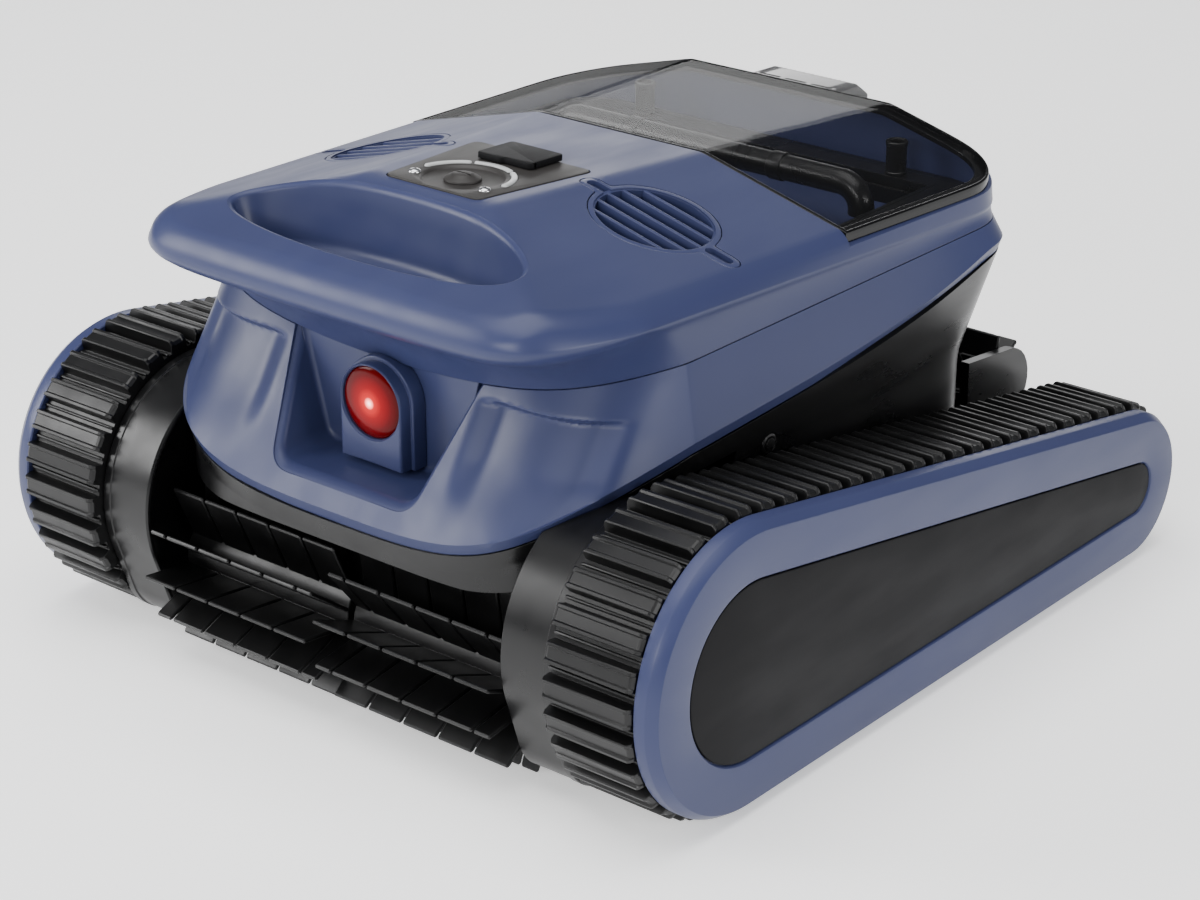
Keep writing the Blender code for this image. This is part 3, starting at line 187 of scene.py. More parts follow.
def soften(obj, width, segments=2, angle=35.0):
    """Rounds every edge sharper than the angle."""
    step = obj.modifiers.new("Soft edges", "BEVEL")
    step.width = width
    step.segments = segments
    step.limit_method = "ANGLE"
    step.angle_limit = math.radians(angle)
    return settle(obj)


def piece(obj, look, body, *nodes, slot, sharp=32.0):
    """Gives a finished object its material and its body, and hides the CAD nodes it stands for."""
    mesh = obj.data
    mesh.materials.clear()
    mesh.materials.append(look)
    mesh.polygons.foreach_set("material_index", np.zeros(len(mesh.polygons), np.int32))
    mesh.shade_smooth()
    mesh.set_sharp_from_angle(angle=math.radians(sharp))
    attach(obj, body)
    if nodes:
        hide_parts(*nodes)
    return obj


# ------------------------------------------------------------------ curves and frames

def smoothed(curve, times):
    """A closed curve after times passes of the mean (1, 2, 1) / 4 over neighbours."""
    for _ in range(times):
        curve = (np.roll(curve, 1, 0) + 2.0 * curve + np.roll(curve, -1, 0)) / 4.0
    return curve


def grown(curve, distance):
    """A closed counter-clockwise curve moved outwards along its normals."""
    along = np.roll(curve, -1, 0) - np.roll(curve, 1, 0)
    normal = np.stack([along[:, 1], -along[:, 0]], -1)
    normal /= np.maximum(np.linalg.norm(normal, axis=1, keepdims=True), 1e-12)
    return curve + normal * distance


def spread(curve, count):
    """A closed curve through the same corners, with count points an equal way apart."""
    closed = np.concatenate([curve, curve[:1]])
    way = np.concatenate([[0.0], np.cumsum(np.linalg.norm(np.diff(closed, axis=0), axis=1))])
    places = np.linspace(0.0, way[-1], count, endpoint=False)
    return np.stack([np.interp(places, way, closed[:, i]) for i in range(closed.shape[1])], -1)


def circle(radius, count=64):
    """x = r cos a, y = r sin a."""
    angle = np.linspace(0.0, TAU, count, endpoint=False)
    return radius * np.stack([np.cos(angle), np.sin(angle)], -1)


def arc(centre, radius, start, end, count):
    angle = np.radians(np.linspace(start, end, count))
    return np.array(centre) + radius * np.stack([np.cos(angle), np.sin(angle)], -1)


def round_box(low, high, radius, count=6):
    """A rectangle with quarter-circle corners, counter-clockwise."""
    (x0, y0), (x1, y1) = low, high
    r = radius
    return np.concatenate([arc((x1 - r, y0 + r), r, -90, 0, count), arc((x1 - r, y1 - r), r, 0, 90, count),
                           arc((x0 + r, y1 - r), r, 90, 180, count),
                           arc((x0 + r, y0 + r), r, 180, 270, count)])


def flat_cut(name, curve, low, high):
    """An upright solid over a plan curve, between two world heights."""
    return raw(name, grid(np.stack([row(curve, low), row(curve, high)])))


def into(basis, points):
    """Local points carried into a 4 x 4 frame."""
    basis = np.array(basis)
    return points @ basis[:3, :3].T + basis[:3, 3]


def axes(origin, first, second, third):
    basis = np.eye(4)
    basis[:3, 0], basis[:3, 1], basis[:3, 2], basis[:3, 3] = first, second, third, origin
    return basis


def side_axes(side, x=0.0, y=0.0, z=0.0):
    """A frame whose outlines lie in the world's Y and Z, and whose height runs outwards on a side."""
    return axes((x, y, z), (0, 1, 0), (0, 0, 1), (side, 0, 0))


def rounded(low, high, under, over, steps=4):
    """(growth, height) levels of a slab whose lower and upper edges are quarter circles."""
    turn = np.linspace(0.0, 0.5 * math.pi, steps + 1)
    lower = np.stack([-under * (1 - np.sin(turn)), low + under * (1 - np.cos(turn))], -1)
    upper = np.stack([-over * (1 - np.cos(turn)), high - over * (1 - np.sin(turn))], -1)
    return np.concatenate([lower, upper])


def slab(curve, levels, basis=np.eye(4)):
    """A flat outline carried through (growth, height) levels: point = outline + normal * growth."""
    rows = [np.column_stack([grown(curve, growth), np.full(len(curve), height)])
            for growth, height in levels]
    return grid(into(basis, np.stack(rows)))


def turned(profile, basis=np.eye(4), count=64, ring=False):
    """A profile of (radius, height) points carried round the frame's third axis."""
    profile = np.array(profile, float)
    around = circle(1.0, count)
    points = np.empty((len(profile), count, 3))
    points[..., :2] = profile[:, None, :1] * around
    points[..., 2] = profile[:, 1:]
    points = into(basis, points)
    return ring_grid(points) if ring else grid(points)


def tube(path, radius, count=20):
    """A circle carried along a path, square to it, with the path's own side direction kept level."""
    path = np.array(path, float)
    along = np.gradient(path, axis=0)
    along /= np.linalg.norm(along, axis=1, keepdims=True)
    side = np.cross(along, (0.0, 1.0, 0.0))
    side /= np.maximum(np.linalg.norm(side, axis=1, keepdims=True), 1e-9)
    up = np.cross(along, side)
    ring = circle(1.0, count)
    radius = np.broadcast_to(radius, len(path))[:, None, None]
    section = ring[None, :, :1] * side[:, None] + ring[None, :, 1:] * up[:, None]
    return grid(path[:, None] + radius * section)


# ------------------------------------------------------------------ outlines of the hull

def back(distance):
    """World Y of a place this far behind the front axle."""
    return AXLE_Y + distance


# front and rear edge, distance in from the tracks at front and rear, depth and power of the bowed front
SHOULDER = (-0.053, 0.0326, (0.0110, 0.0025), (0.062, 14.0))
SKIRT = (-0.057, 0.0300, (0.0040, 0.0015), (0.066, 13.0))
LIP = (-0.0105, 0.0310, (0.0050, 0.0005), (0.045, 6.7))
RIM = (-0.0495, 0.0295, (-0.0025, -0.0045), (0.0815, 6.7))
HULL = (-0.0475, 0.0460, (0.0028, 0.0068), (0.0815, 6.7))
CORNER_R = 0.034
# middle of the front, rise to its ends, power of the rise, change along the side
LIP_RISE = (0.1672, 0.0188, 2.1, 0.0020)
SKIRT_RISE = (0.2010, 0.0080, 6.0, -0.0140)
RIM_RISE = (0.0998, 0.0460, 3.3, 0.0120)
RIM_TAIL = 0.0150
KNEE_RISE = (0.0900, 0.0400, 3.0, -0.0100)
# lower edge of the shoulder's band and its height
DECK_EDGE = (0.200, 0.0165)
# world heights of a cut that passes right through the deck
THROUGH_DECK = (0.19, 0.26)

DECK_Z = 0.2345
DECK_BACK = 0.150
MID_SLOPE = -0.046
SIDE_SLOPE = 0.257
SIDE_FALL = -0.0227
CREASE = 0.0504
NOSE_SLOPE = 0.31
NOSE_Z = 0.2185


def outline(spec, inset=0.0, fine=1.0, soft=10):
    """Closed plan outline as (x, y, share) from the front's middle.

    Front: x = half sin(a), y = front + depth sin(a)**power. Then a straight side, a quarter circle
    and a straight back, mirrored to the left. The share is -1 to 0 along the front, 0 to 1 along
    the side and 1 behind.
    """
    front, rear, side_in, (depth, power) = spec
    front = back(front + inset)
    rear = REAR_Y - rear - inset
    near, far = SIDE - side_in[0] - inset, SIDE - side_in[1] - inset
    corner = CORNER_R - inset
    t = np.sin(0.5 * math.pi * np.linspace(0.0, 1.0, int(56 * fine), endpoint=False))
    s = np.linspace(0.0, 1.0, int(70 * fine), endpoint=False)
    turn = np.linspace(0.0, 0.5 * math.pi, int(20 * fine))
    across = np.linspace(far - corner, 0.0, int(26 * fine))[1:]
    start = front + depth
    right = np.concatenate([
        np.stack([near * t, front + depth * t ** power, t - 1.0], -1),
        np.stack([near + (far - near) * s, start + (rear - corner - start) * s, s], -1),
        np.stack([far - corner + corner * np.cos(turn), rear - corner + corner * np.sin(turn),
                  np.ones_like(turn)], -1),
        np.stack([across, np.full_like(across, rear), np.ones_like(across)], -1)])
    left = right[-2:0:-1] * (-1, 1, 1)
    return smoothed(np.concatenate([right, left]), soft)


def edge_z(share, rise):
    """Height of an edge: middle + ends (share + 1)**power on the front, then straight."""
    middle, ends, power, along = rise
    front = middle + ends * np.clip(share + 1.0, 0.0, 1.0) ** power
    return front + along * np.clip(share, 0.0, 1.0)


def rim_z(share):
    """The shell's lower rim, which sweeps up again towards the back."""
    return edge_z(share, RIM_RISE) + RIM_TAIL * np.clip(share, 0.0, 1.0) ** 4


def parabola(start, control, end, count):
    """Rows from start to end, start left out: (1 - s)**2 start + 2 s (1 - s) control + s**2 end."""
    return [(1 - s) ** 2 * start + 2 * s * (1 - s) * control + s ** 2 * end
            for s in np.linspace(0.0, 1.0, count)[1:]]


def row(line, height):
    return np.column_stack([line[:, :2], np.broadcast_to(height, len(line))])


def smooth_min(a, b, width):
    """The lower of two heights, blended by a parabola where they are within width of each other."""
    share = np.clip(0.5 + 0.5 * (b - a) / width, 0.0, 1.0)
    return b * (1.0 - share) + a * share - width * share * (1.0 - share)


def deck_height(x, y):
    """Height of the deck: a middle facet, two side facets and a rising nose facet."""
    behind = y - back(DECK_BACK)
    middle = DECK_Z + MID_SLOPE * behind
    side = DECK_Z - SIDE_SLOPE * (np.abs(x) - CREASE) + SIDE_FALL * behind
    nose = NOSE_Z + NOSE_SLOPE * (y - back(SHOULDER[0]))
    return smooth_min(smooth_min(middle, side, 0.0004), nose, 0.0030)


def on_deck(points, height=0.0):
    """Points of a flat outline lifted to a height above the deck."""
    return np.column_stack([points[:, :2], deck_height(points[:, 0], points[:, 1]) + height])


def facet(side, x, y):
    """Frame on the middle facet (side 0) or a side facet: across, along, outward normal."""
    slope = (0.0, -MID_SLOPE) if side == 0 else (side * SIDE_SLOPE, -SIDE_FALL)
    normal = np.array([slope[0], slope[1], 1.0])
    normal /= np.linalg.norm(normal)
    across = np.cross((0.0, 1.0, 0.0), normal)
    across /= np.linalg.norm(across)
    return axes((x, y, float(deck_height(x, y))), across, np.cross(normal, across), normal)


def towards_middle(line, shares, reach=0.10):
    """Rows of plan points that shrink an outline to a line down its middle: p + (m - p) share."""
    low, high = line[:, 1].min() + reach, line[:, 1].max() - reach
    middle = np.column_stack([np.zeros(len(line)), np.clip(line[:, 1], low, high)])
    return [line[:, :2] + (middle - line[:, :2]) * share for share in shares]


# ------------------------------------------------------------------ materials

# the Mix node's colour sockets, which share their names with its number and vector sockets
MIX_A, MIX_B, MIX_OUT = 6, 7, 2
# how far the relief of any surface reaches
RELIEF_DEPTH = 0.0001


def node(tree, kind, inputs=(), **settings):
    """A shader node with its settings, each input given as a value or as another node's socket."""
    made = tree.nodes.new(kind)
    for name, value in settings.items():
        setattr(made, name, value)
    for name, value in dict(inputs).items():
        socket = made.inputs[name]
        if isinstance(value, bpy.types.NodeSocket):
            tree.links.new(value, socket)
        else:
            socket.default_value = value
    return made


def material(name):
    made = bpy.data.materials.new(name)
    made.use_nodes = True
    return made, made.node_tree, made.node_tree.nodes["Principled BSDF"]


def object_noise(tree, scale, detail=3.0, stretch=(1.0, 1.0, 1.0)):
    place = node(tree, "ShaderNodeTexCoord").outputs["Object"]
    place = node(tree, "ShaderNodeMapping", {"Vector": place, "Scale": stretch}).outputs["Vector"]
    noise = node(tree, "ShaderNodeTexNoise", {"Vector": place, "Scale": scale, "Detail": detail})
    return noise.outputs["Fac"]


def spanned(tree, value, low, high, start=0.35, end=0.65):
    return node(tree, "ShaderNodeMapRange", {"Value": value, "From Min": start, "From Max": end,
                                             "To Min": low, "To Max": high}).outputs["Result"]


def moulded(name, tint, roughness, grain=0.05, grain_scale=2600.0, spread_of=0.05, coat=0.0,
            specular=0.5, edge=0.0004):
    """Moulded plastic or rubber: fine grain in the relief, slow drift in tone and gloss, faint scuffs."""
    made, tree, surface = material(name)
    drift = object_noise(tree, 9.0, 2.0)
    scuff = object_noise(tree, 60.0, 5.0, (1.0, 0.25, 1.0))
    fine = object_noise(tree, grain_scale, 2.0)
    dark = tuple(c * (1.0 - spread_of) for c in tint) + (1.0,)
    light = tuple(min(c * (1.0 + spread_of), 1.0) for c in tint) + (1.0,)
    tone = node(tree, "ShaderNodeMix", {"Factor": spanned(tree, drift, 0.0, 1.0)}, data_type="RGBA")
    tone.inputs[MIX_A].default_value = dark
    tone.inputs[MIX_B].default_value = light
    tree.links.new(tone.outputs[MIX_OUT], surface.inputs["Base Color"])
    gloss = spanned(tree, scuff, roughness - 0.035, roughness + 0.06)
    tree.links.new(gloss, surface.inputs["Roughness"])
    round_off = node(tree, "ShaderNodeBevel", {"Radius": edge}, samples=4)
    relief = node(tree, "ShaderNodeBump", {"Strength": grain, "Distance": RELIEF_DEPTH, "Height": fine,
                                           "Normal": round_off.outputs["Normal"]})
    tree.links.new(relief.outputs["Normal"], surface.inputs["Normal"])
    surface.inputs["Specular IOR Level"].default_value = specular
    surface.inputs["Coat Weight"].default_value = coat
    surface.inputs["Coat Roughness"].default_value = 0.12
    return made


def metal(name, tint, roughness):
    """Bright metal with fine turning marks."""
    made, tree, surface = material(name)
    marks = object_noise(tree, 1500.0, 3.0, (1.0, 0.2, 1.0))
    surface.inputs["Metallic"].default_value = 1.0
    surface.inputs["Base Color"].default_value = (*tint, 1.0)
    tree.links.new(spanned(tree, marks, roughness - 0.06, roughness + 0.08), surface.inputs["Roughness"])
    relief = node(tree, "ShaderNodeBump", {"Strength": 0.06, "Distance": RELIEF_DEPTH, "Height": marks})
    tree.links.new(relief.outputs["Normal"], surface.inputs["Normal"])
    return made


def smoked(name, tint, alpha):
    """Clear plastic tinted grey: mostly see-through, with a polished face that mirrors the lights."""
    made, tree, surface = material(name)
    haze = object_noise(tree, 40.0, 4.0)
    surface.inputs["Base Color"].default_value = (*(0.03 * c for c in tint), 1.0)
    surface.inputs["Alpha"].default_value = alpha
    surface.inputs["IOR"].default_value = 1.55
    surface.inputs["Specular IOR Level"].default_value = 0.22
    tree.links.new(spanned(tree, haze, 0.025, 0.05), surface.inputs["Roughness"])
    relief = node(tree, "ShaderNodeBump", {"Strength": 0.02, "Distance": RELIEF_DEPTH, "Height": haze})
    tree.links.new(relief.outputs["Normal"], surface.inputs["Normal"])
    return made


GLOW_MIDDLE = (6.0, 4.2, 4.0, 1.0)
GLOW_EDGE = (0.015, 0.0, 0.0, 1.0)
# (share of the lens's radius, light given off)
GLOW_STEPS = ((0.09, (5.0, 1.2, 1.0, 1.0)), (0.17, (1.3, 0.03, 0.03, 1.0)),
              (0.42, (0.50, 0.0, 0.006, 1.0)), (0.75, (0.14, 0.0, 0.003, 1.0)))


def lamp_glass(name, tint, centre, radius):
    """Dark red lens with a lit spot in its middle: glow falls off with the distance from its axis."""
    made, tree, surface = material(name)
    place = node(tree, "ShaderNodeTexCoord").outputs["Object"]
    place = node(tree, "ShaderNodeMapping", {
        "Vector": place, "Location": (-centre[0] / radius, 0.0, -centre[2] / radius),
        "Scale": (1 / radius, 0.0, 1 / radius)}).outputs["Vector"]
    far = node(tree, "ShaderNodeVectorMath", {0: place}, operation="LENGTH").outputs["Value"]
    ramp = node(tree, "ShaderNodeValToRGB", {"Fac": far})
    stops = ramp.color_ramp.elements
    stops[0].position, stops[0].color = 0.0, GLOW_MIDDLE
    stops[1].position, stops[1].color = 1.0, GLOW_EDGE
    for position, value in GLOW_STEPS:
        stops.new(position).color = value
    surface.inputs["Base Color"].default_value = (*(0.06 * c for c in tint), 1.0)
    tree.links.new(ramp.outputs["Color"], surface.inputs["Emission Color"])
    surface.inputs["Emission Strength"].default_value = 1.0
    surface.inputs["Roughness"].default_value = 0.12
    surface.inputs["Specular IOR Level"].default_value = 0.10
    return made


LOOKS = {}


class CLEANER_OT_materials(bpy.types.Operator):
    """Makes the materials, and gives one to every frame part that stays in sight"""
    bl_idname = "cleaner.materials"
    bl_label = "Materials"

    def execute(self, context):
        tints = context.scene.cleaner_colours
        LOOKS.update(
            shell=moulded("satin blue plastic", tints.shell, 0.34, grain=0.05, grain_scale=2200.0,
                          spread_of=0.04, specular=0.28),
            black=moulded("black plastic", tints.black, 0.30, grain=0.03, grain_scale=2400.0,
                          spread_of=0.10, specular=0.34),
            matt=moulded("matt black plastic", tuple(2.4 * c for c in tints.black), 0.52, grain=0.14,
                         grain_scale=2200.0, spread_of=0.1, specular=0.10),
            gloss=moulded("polished black plastic", tints.black, 0.14, grain=0.02, grain_scale=900.0,
                          spread_of=0.05, specular=0.22),
            rubber=moulded("black rubber", tints.rubber, 0.36, grain=0.10, grain_scale=1900.0,
                           spread_of=0.12, specular=0.36),
            plate=moulded("warm grey plate", tints.plate, 0.48, grain=0.10, grain_scale=3000.0,
                          spread_of=0.05, specular=0.35),
            bar=moulded("frosted light bar", (0.40, 0.41, 0.41), 0.35, grain=0.05, grain_scale=2500.0,
                        spread_of=0.03, coat=0.3),
            grey=moulded("grey housing", (0.10, 0.10, 0.11), 0.45, grain=0.08),
            steel=metal("bright steel", (0.62, 0.62, 0.63), 0.22),
            can=metal("motor can", (0.35, 0.36, 0.38), 0.32),
            smoke=smoked("smoked window", tints.smoke, 0.16),
            tab=smoked("smoked tab", tuple(4.0 * c for c in tints.smoke), 0.80),
        )
        finish = {"blue": "shell", "light": "bar", "red": "black"}
        for part in frame["record"]["subparts"]:
            obj = frame["nodes"][part["node"]]
            slot = part["material_slot"]
            obj.data.materials.clear()
            obj.data.materials.append(LOOKS[finish.get(slot, slot)])
        return {"FINISHED"}


# ------------------------------------------------------------------ deck

def deck_lines(inset, drop, fine, edge, cove, top_rows):
    """Rows of the deck's skin from its lower lip over the shoulder to its middle.

    Between lip L and skirt S a parabola sags inwards; from S a straight band leans in to its
    corner C with the facets; the shoulder is a parabola that leaves C out; the facets follow.
    """
    lip = outline(LIP, inset, fine)
    skirt = outline(SKIRT, inset, fine)
    shoulder = outline(SHOULDER, inset, fine)
    low = row(lip, edge_z(lip[:, 2], LIP_RISE) + drop * 0.5)
    corner = row(skirt, edge_z(skirt[:, 2], SKIRT_RISE))
    lean = (shoulder[:, :2] - skirt[:, :2]) / DECK_EDGE[1]
    # the corner is where the leaning band meets the facets: a few rounds settle its height
    z = np.full(len(skirt), 0.22)
    for _ in range(8):
        xy = skirt[:, :2] + lean * (z - DECK_EDGE[0])[:, None]
        z = deck_height(xy[:, 0], xy[:, 1]) - drop
    top = row(xy, z)
    rim = np.column_stack([0.75 * low[:, :2] + 0.25 * corner[:, :2],
                           0.25 * low[:, 2] + 0.75 * corner[:, 2]])
    rim[:, :2] -= cove * np.sign(rim[:, :2]) * (0.6, 0.0)
    rows = [low] + parabola(low, rim, corner, 12)[:-3]
    down = corner - top
    tall = np.linalg.norm(down, axis=1, keepdims=True)
    middle = np.column_stack([np.zeros(len(top)), np.clip(top[:, 1], back(0.05), REAR_Y - 0.13)])
    inwards = middle - top[:, :2]
    inwards /= np.linalg.norm(inwards, axis=1, keepdims=True)
    nose = np.clip(1.0 - (top[:, 1:2] - back(-0.050)) / 0.05, 0.0, 1.0)
    reach = edge * (1.0 + 0.6 * nose)
    below = top + down / tall * np.minimum(reach, 0.5 * tall)
    inner = top[:, :2] + inwards * reach
    above = row(inner, deck_height(inner[:, 0], inner[:, 1]) - drop)
    heel = corner - down / tall * (0.0008 + 0.0070 * nose)
    rows += parabola(rows[-1], corner, heel, 8)
    rows += [heel + (below - heel) * 0.5, below]
    rows += parabola(below, 0.55 * top + 0.225 * (below + above), above, 8)
    for points in towards_middle(above, np.linspace(0.0, 1.0, top_rows)[1:]):
        rows.append(row(points, deck_height(points[:, 0], points[:, 1]) - drop))
    return rows


def closed_below(rows, low=None):
    """A solid under rows of skin: the first row is closed by rows at its own height to the middle."""
    first = rows[0]
    if low is not None:
        first = row(first, low)
        rows = [first] + rows
    under = [row(points, first[:, 2]) for points in towards_middle(first, (1.0, 0.5))]
    return grid(np.stack(under + rows), caps=(False, False))


GRIP = {"half": 0.0845, "front": -0.0345, "rear": 0.0105, "widest": -0.0190, "power": 2.15,
        "depth": 0.034, "draft": 0.007}


def grip_curve():
    """The carrying pocket's mouth: |x / half|**p + |(y - widest) / reach|**p = 1, front and rear."""
    angle = np.linspace(0.0, TAU, 400, endpoint=False)
    cos, sin = np.cos(angle), np.sin(angle)
    power = 2.0 / GRIP["power"]
    reach = np.where(sin > 0.0, GRIP["rear"] - GRIP["widest"], GRIP["widest"] - GRIP["front"])
    curve = np.stack([GRIP["half"] * np.sign(cos) * np.abs(cos) ** power,
                      back(GRIP["widest"]) + reach * np.sign(sin) * np.abs(sin) ** power], -1)
    return smoothed(spread(curve, 260), 6)


def grip_hollow(grow, rounding):
    """Cutter of the pocket: a rounded mouth on the deck, leaning walls, a filleted flat floor."""
    curve = grip_curve()
    floor = float(deck_height(0.0, back(GRIP["rear"]))) - GRIP["depth"] - grow
    rows = [on_deck(grown(curve, rounding * 0.74 + grow), 0.012)]
    for a in np.radians(np.linspace(15, 90, 7)):
        line = grown(curve, rounding * (1 - math.sin(a)) + grow)
        rows.append(on_deck(line, -rounding * (1 - math.cos(a))))
    fillet = 0.007
    for a in np.radians(np.linspace(0, 90, 7)):
        line = grown(curve, grow - GRIP["draft"] - fillet * (1 - math.cos(a)) + 0.0015)
        rows.append(row(line, floor + fillet * (1 - math.sin(a))))
    return grid(np.stack(rows))


def lid_plan(inset, front, fine=1.0):
    """The deck's outline behind a straight front line."""
    line = outline(SHOULDER, inset, fine)[:, :2]
    line = line[line[:, 1] > front + 0.0005]
    half = np.abs(line[:, 0][np.argmin(line[:, 1])])
    edge = np.linspace(-half, half, 80)
    return np.concatenate([np.stack([edge, np.full(80, front)], -1), line[line[:, 0] > 0],
                           line[line[:, 0] <= 0]])


def lid_solid(inset, front, low, high, edge=0.0):
    """A solid between two heights over the deck, inside the lid's plan."""
    plan = lid_plan(inset, front)
    shares = np.linspace(0.0, 1.0, 26)
    levels = rounded(low, high, 0.0, edge, 3)[4:] if edge else [(0.0, high)]
    rows = [on_deck(p, low) for p in towards_middle(plan, shares[::-1], 0.06)]
    for growth, height in levels:
        rows.append(on_deck(grown(plan, growth), height))
    top = grown(plan, levels[-1][0])
    rows += [on_deck(p, levels[-1][1]) for p in towards_middle(top, shares[1:], 0.06)]
    return grid(np.stack(rows), caps=(False, False))


VENT = {"x": SIDE - 0.0592, "back": 0.0795, "radius": 0.0300, "bore": 0.0274, "ear": (0.0470, 0.0420),
        "ear_half": 0.0052}


def vent_curve(side, grow=0.0):
    """The outlet's rim: the farther of a circle and of a round-ended bar along X, in polar form."""
    angle = np.linspace(0.0, TAU, 480, endpoint=False)
    cos, sin = np.abs(np.cos(angle)), np.abs(np.sin(angle))
    half = VENT["ear_half"]
    tip = np.where(np.cos(angle) * side > 0, VENT["ear"][0], VENT["ear"][1]) - half
    at_side = half * cos <= tip * sin
    reach = tip * cos + np.sqrt(np.maximum(half ** 2 - (tip * sin) ** 2, 0.0))
    bar = np.where(at_side, half / np.maximum(sin, 1e-6), reach)
    radius = np.maximum(VENT["radius"], bar)
    curve = radius[:, None] * np.stack([np.cos(angle), np.sin(angle)], -1)
    curve = smoothed(spread(curve, 300), 4)
    return grown(curve, grow) + (side * VENT["x"], back(VENT["back"]))


def deck_cut(curve, low, high=0.02):
    """A cutter over a convex plan curve, from a height over the deck to a flat top."""
    return grid(np.stack([on_deck(curve, low), row(curve, DECK_Z + high)]))


def deck_disc(curve, centre, levels):
    """A plan curve carried through (growth, height) levels over the deck, closed by rings to its centre."""
    rows = [on_deck(grown(curve, growth), height) for growth, height in levels]
    shares = np.linspace(0.0, 1.0, 9)[1:]

    def fan(growth, height):
        edge = grown(curve, growth)
        return [on_deck(edge + (centre - edge) * share, height) for share in shares]
    return grid(np.stack(fan(*levels[0])[::-1] + rows + fan(*levels[-1])), caps=(False, False))


PANEL = {"front": 0.0210, "rear": 0.0925, "near": 0.0292, "far": 0.0358, "round": 0.0042,
         "dial": 0.0425}
SCREW = {"x": 0.0213, "back": 0.0335, "radius": 0.0031, "crown": 0.0015}
FLAP = {"half": 0.0160, "front": 0.0695, "rear": 0.0950}


def panel_curve(grow=0.0):
    """The control panel's outline: a trapezoid, wider behind, with round corners."""
    front, rear = back(PANEL["front"]), back(PANEL["rear"])
    r = PANEL["round"]
    near, far = PANEL["near"], PANEL["far"]
    curve = np.concatenate([arc((near - r, front + r), r, -90, 0, 7), arc((far - r, rear - r), r, 0, 90, 7),
                            arc((-far + r, rear - r), r, 90, 180, 7),
                            arc((-near + r, front + r), r, 180, 270, 7)])
    return grown(spread(curve, 160), grow)


class CLEANER_OT_deck(bpy.types.Operator):
    """Adds the blue upper cover with its carrying pocket and the seats of panel, outlets and lid"""
    bl_idname = "cleaner.deck"
    bl_label = "Upper cover"

    def execute(self, context):
        size = context.scene.cleaner_sizes
        wall = size.shell_wall
        deck = raw("deck_cover", closed_below(deck_lines(0.0, 0.0, 1.0, size.shoulder, 0.0035, 46)))
        inner = deck_lines(wall, wall, 0.5, size.shoulder, 0.0035, 16)
        hollow = raw("deck_hollow", closed_below(inner, 0.12))
        bar = round_box((-GRIP["half"], back(-0.08)), (GRIP["half"], back(-0.037)), 0.004)
        carve(hollow, raw("pocket_walls", grip_hollow(wall, 0.0)),
              raw("bar_core", slab(bar, [(0.0, 0.11), (0.0, 0.35)])))
        carve(deck, hollow)
        carve(deck, raw("pocket", grip_hollow(0.0, size.mouth_round)))
        lid = raw("lid_seat", lid_solid(inset=-0.02, front=LID_Y, low=-0.0053, high=0.06))
        mouth = raw("lid_mouth", lid_solid(inset=0.0075, front=LID_Y + 0.0075, low=-0.08, high=0.02))
        panel = raw("panel_seat", deck_cut(panel_curve(0.0003), -0.0025))
        carve(deck, lid, mouth, panel)
        for side, _ in SIDES:
            carve(deck, flat_cut("outlet_hole", vent_curve(side, 0.0004), *THROUGH_DECK))
        piece(deck, LOOKS["shell"], "hull", "top_deck", slot="blue")
        return {"FINISHED"}


class CLEANER_OT_outlets(bpy.types.Operator):
    """Adds the two round outlets: a rim with two eared ends, and five straight slats"""
    bl_idname = "cleaner.outlets"
    bl_label = "Water outlets"

    def execute(self, context):
        for side, word in SIDES:
            middle = np.array([side * VENT["x"], back(VENT["back"])])
            levels = rounded(-0.0045, 0.0, 0.0, 0.0005, 3)[3:]
            body = raw(f"outlet_{word}", deck_disc(vent_curve(side), middle, levels))
            bore = flat_cut("bore", circle(VENT["bore"], 120) + middle, *THROUGH_DECK)
            ears = []
            for sign, tip in zip((1, -1), VENT["ear"]):
                x = sign * side * (tip - 0.0105) + middle[0]
                y = middle[1]
                hole = round_box((x - 0.0072, y - 0.0028), (x + 0.0072, y + 0.0028), 0.0026)
                ears.append(raw("ear_slot", deck_cut(spread(hole, 60), -0.0028)))
            carve(body, bore, *ears)
            frame_of = facet(side, *middle)
            pitch = VENT["bore"] / 3.0
            slats = []
            for i in range(-2, 3):
                reach = math.sqrt(VENT["bore"] ** 2 - (i * pitch) ** 2) + 0.0006
                strip = round_box((-reach, i * pitch - 0.0010), (reach, i * pitch + 0.0010), 0.0006, 3)
                slats.append(slab(strip, rounded(-0.0095, -0.0006, 0.0003, 0.0004, 2), frame_of))
            inner, outer = VENT["bore"] - 0.0002, VENT["bore"] + 0.0020
            wall = [(inner, -0.0008), (outer, -0.0008), (outer, -0.024), (inner, -0.024)]
            duct = turned(wall, frame_of, 96, True)
            bars = raw(f"outlet_slats_{word}", duct, *slats)
            piece(body, LOOKS["shell"], "hull", f"outlet_grille_{word}", slot="blue")
            piece(bars, LOOKS["shell"], "hull", slot="blue")
        return {"FINISHED"}


# ------------------------------------------------------------------ control panel

def panel_frame():
    return facet(0, 0.0, back(PANEL["dial"]))


# the middle of each light bar round the dial, in degrees from +X
LIGHT_BARS = {30: "right", 90: "rear", 150: "left"}


def light_curve(middle):
    """One bar of the ring of lights: an arc of 50 degrees with round ends."""
    radius, half, width = 0.0235, 25.0, 0.0015
    outer = arc((0, 0), radius + width, middle - half, middle + half, 24)
    inner = arc((0, 0), radius - width, middle + half, middle - half, 24)
    ends = [arc(arc((0, 0), radius, a, a, 1)[0], width, a + turn, a + turn + 180, 7)[1:-1]
            for a, turn in ((middle + half, 0), (middle - half, 180))]
    return np.concatenate([outer, ends[0], inner, ends[1]])


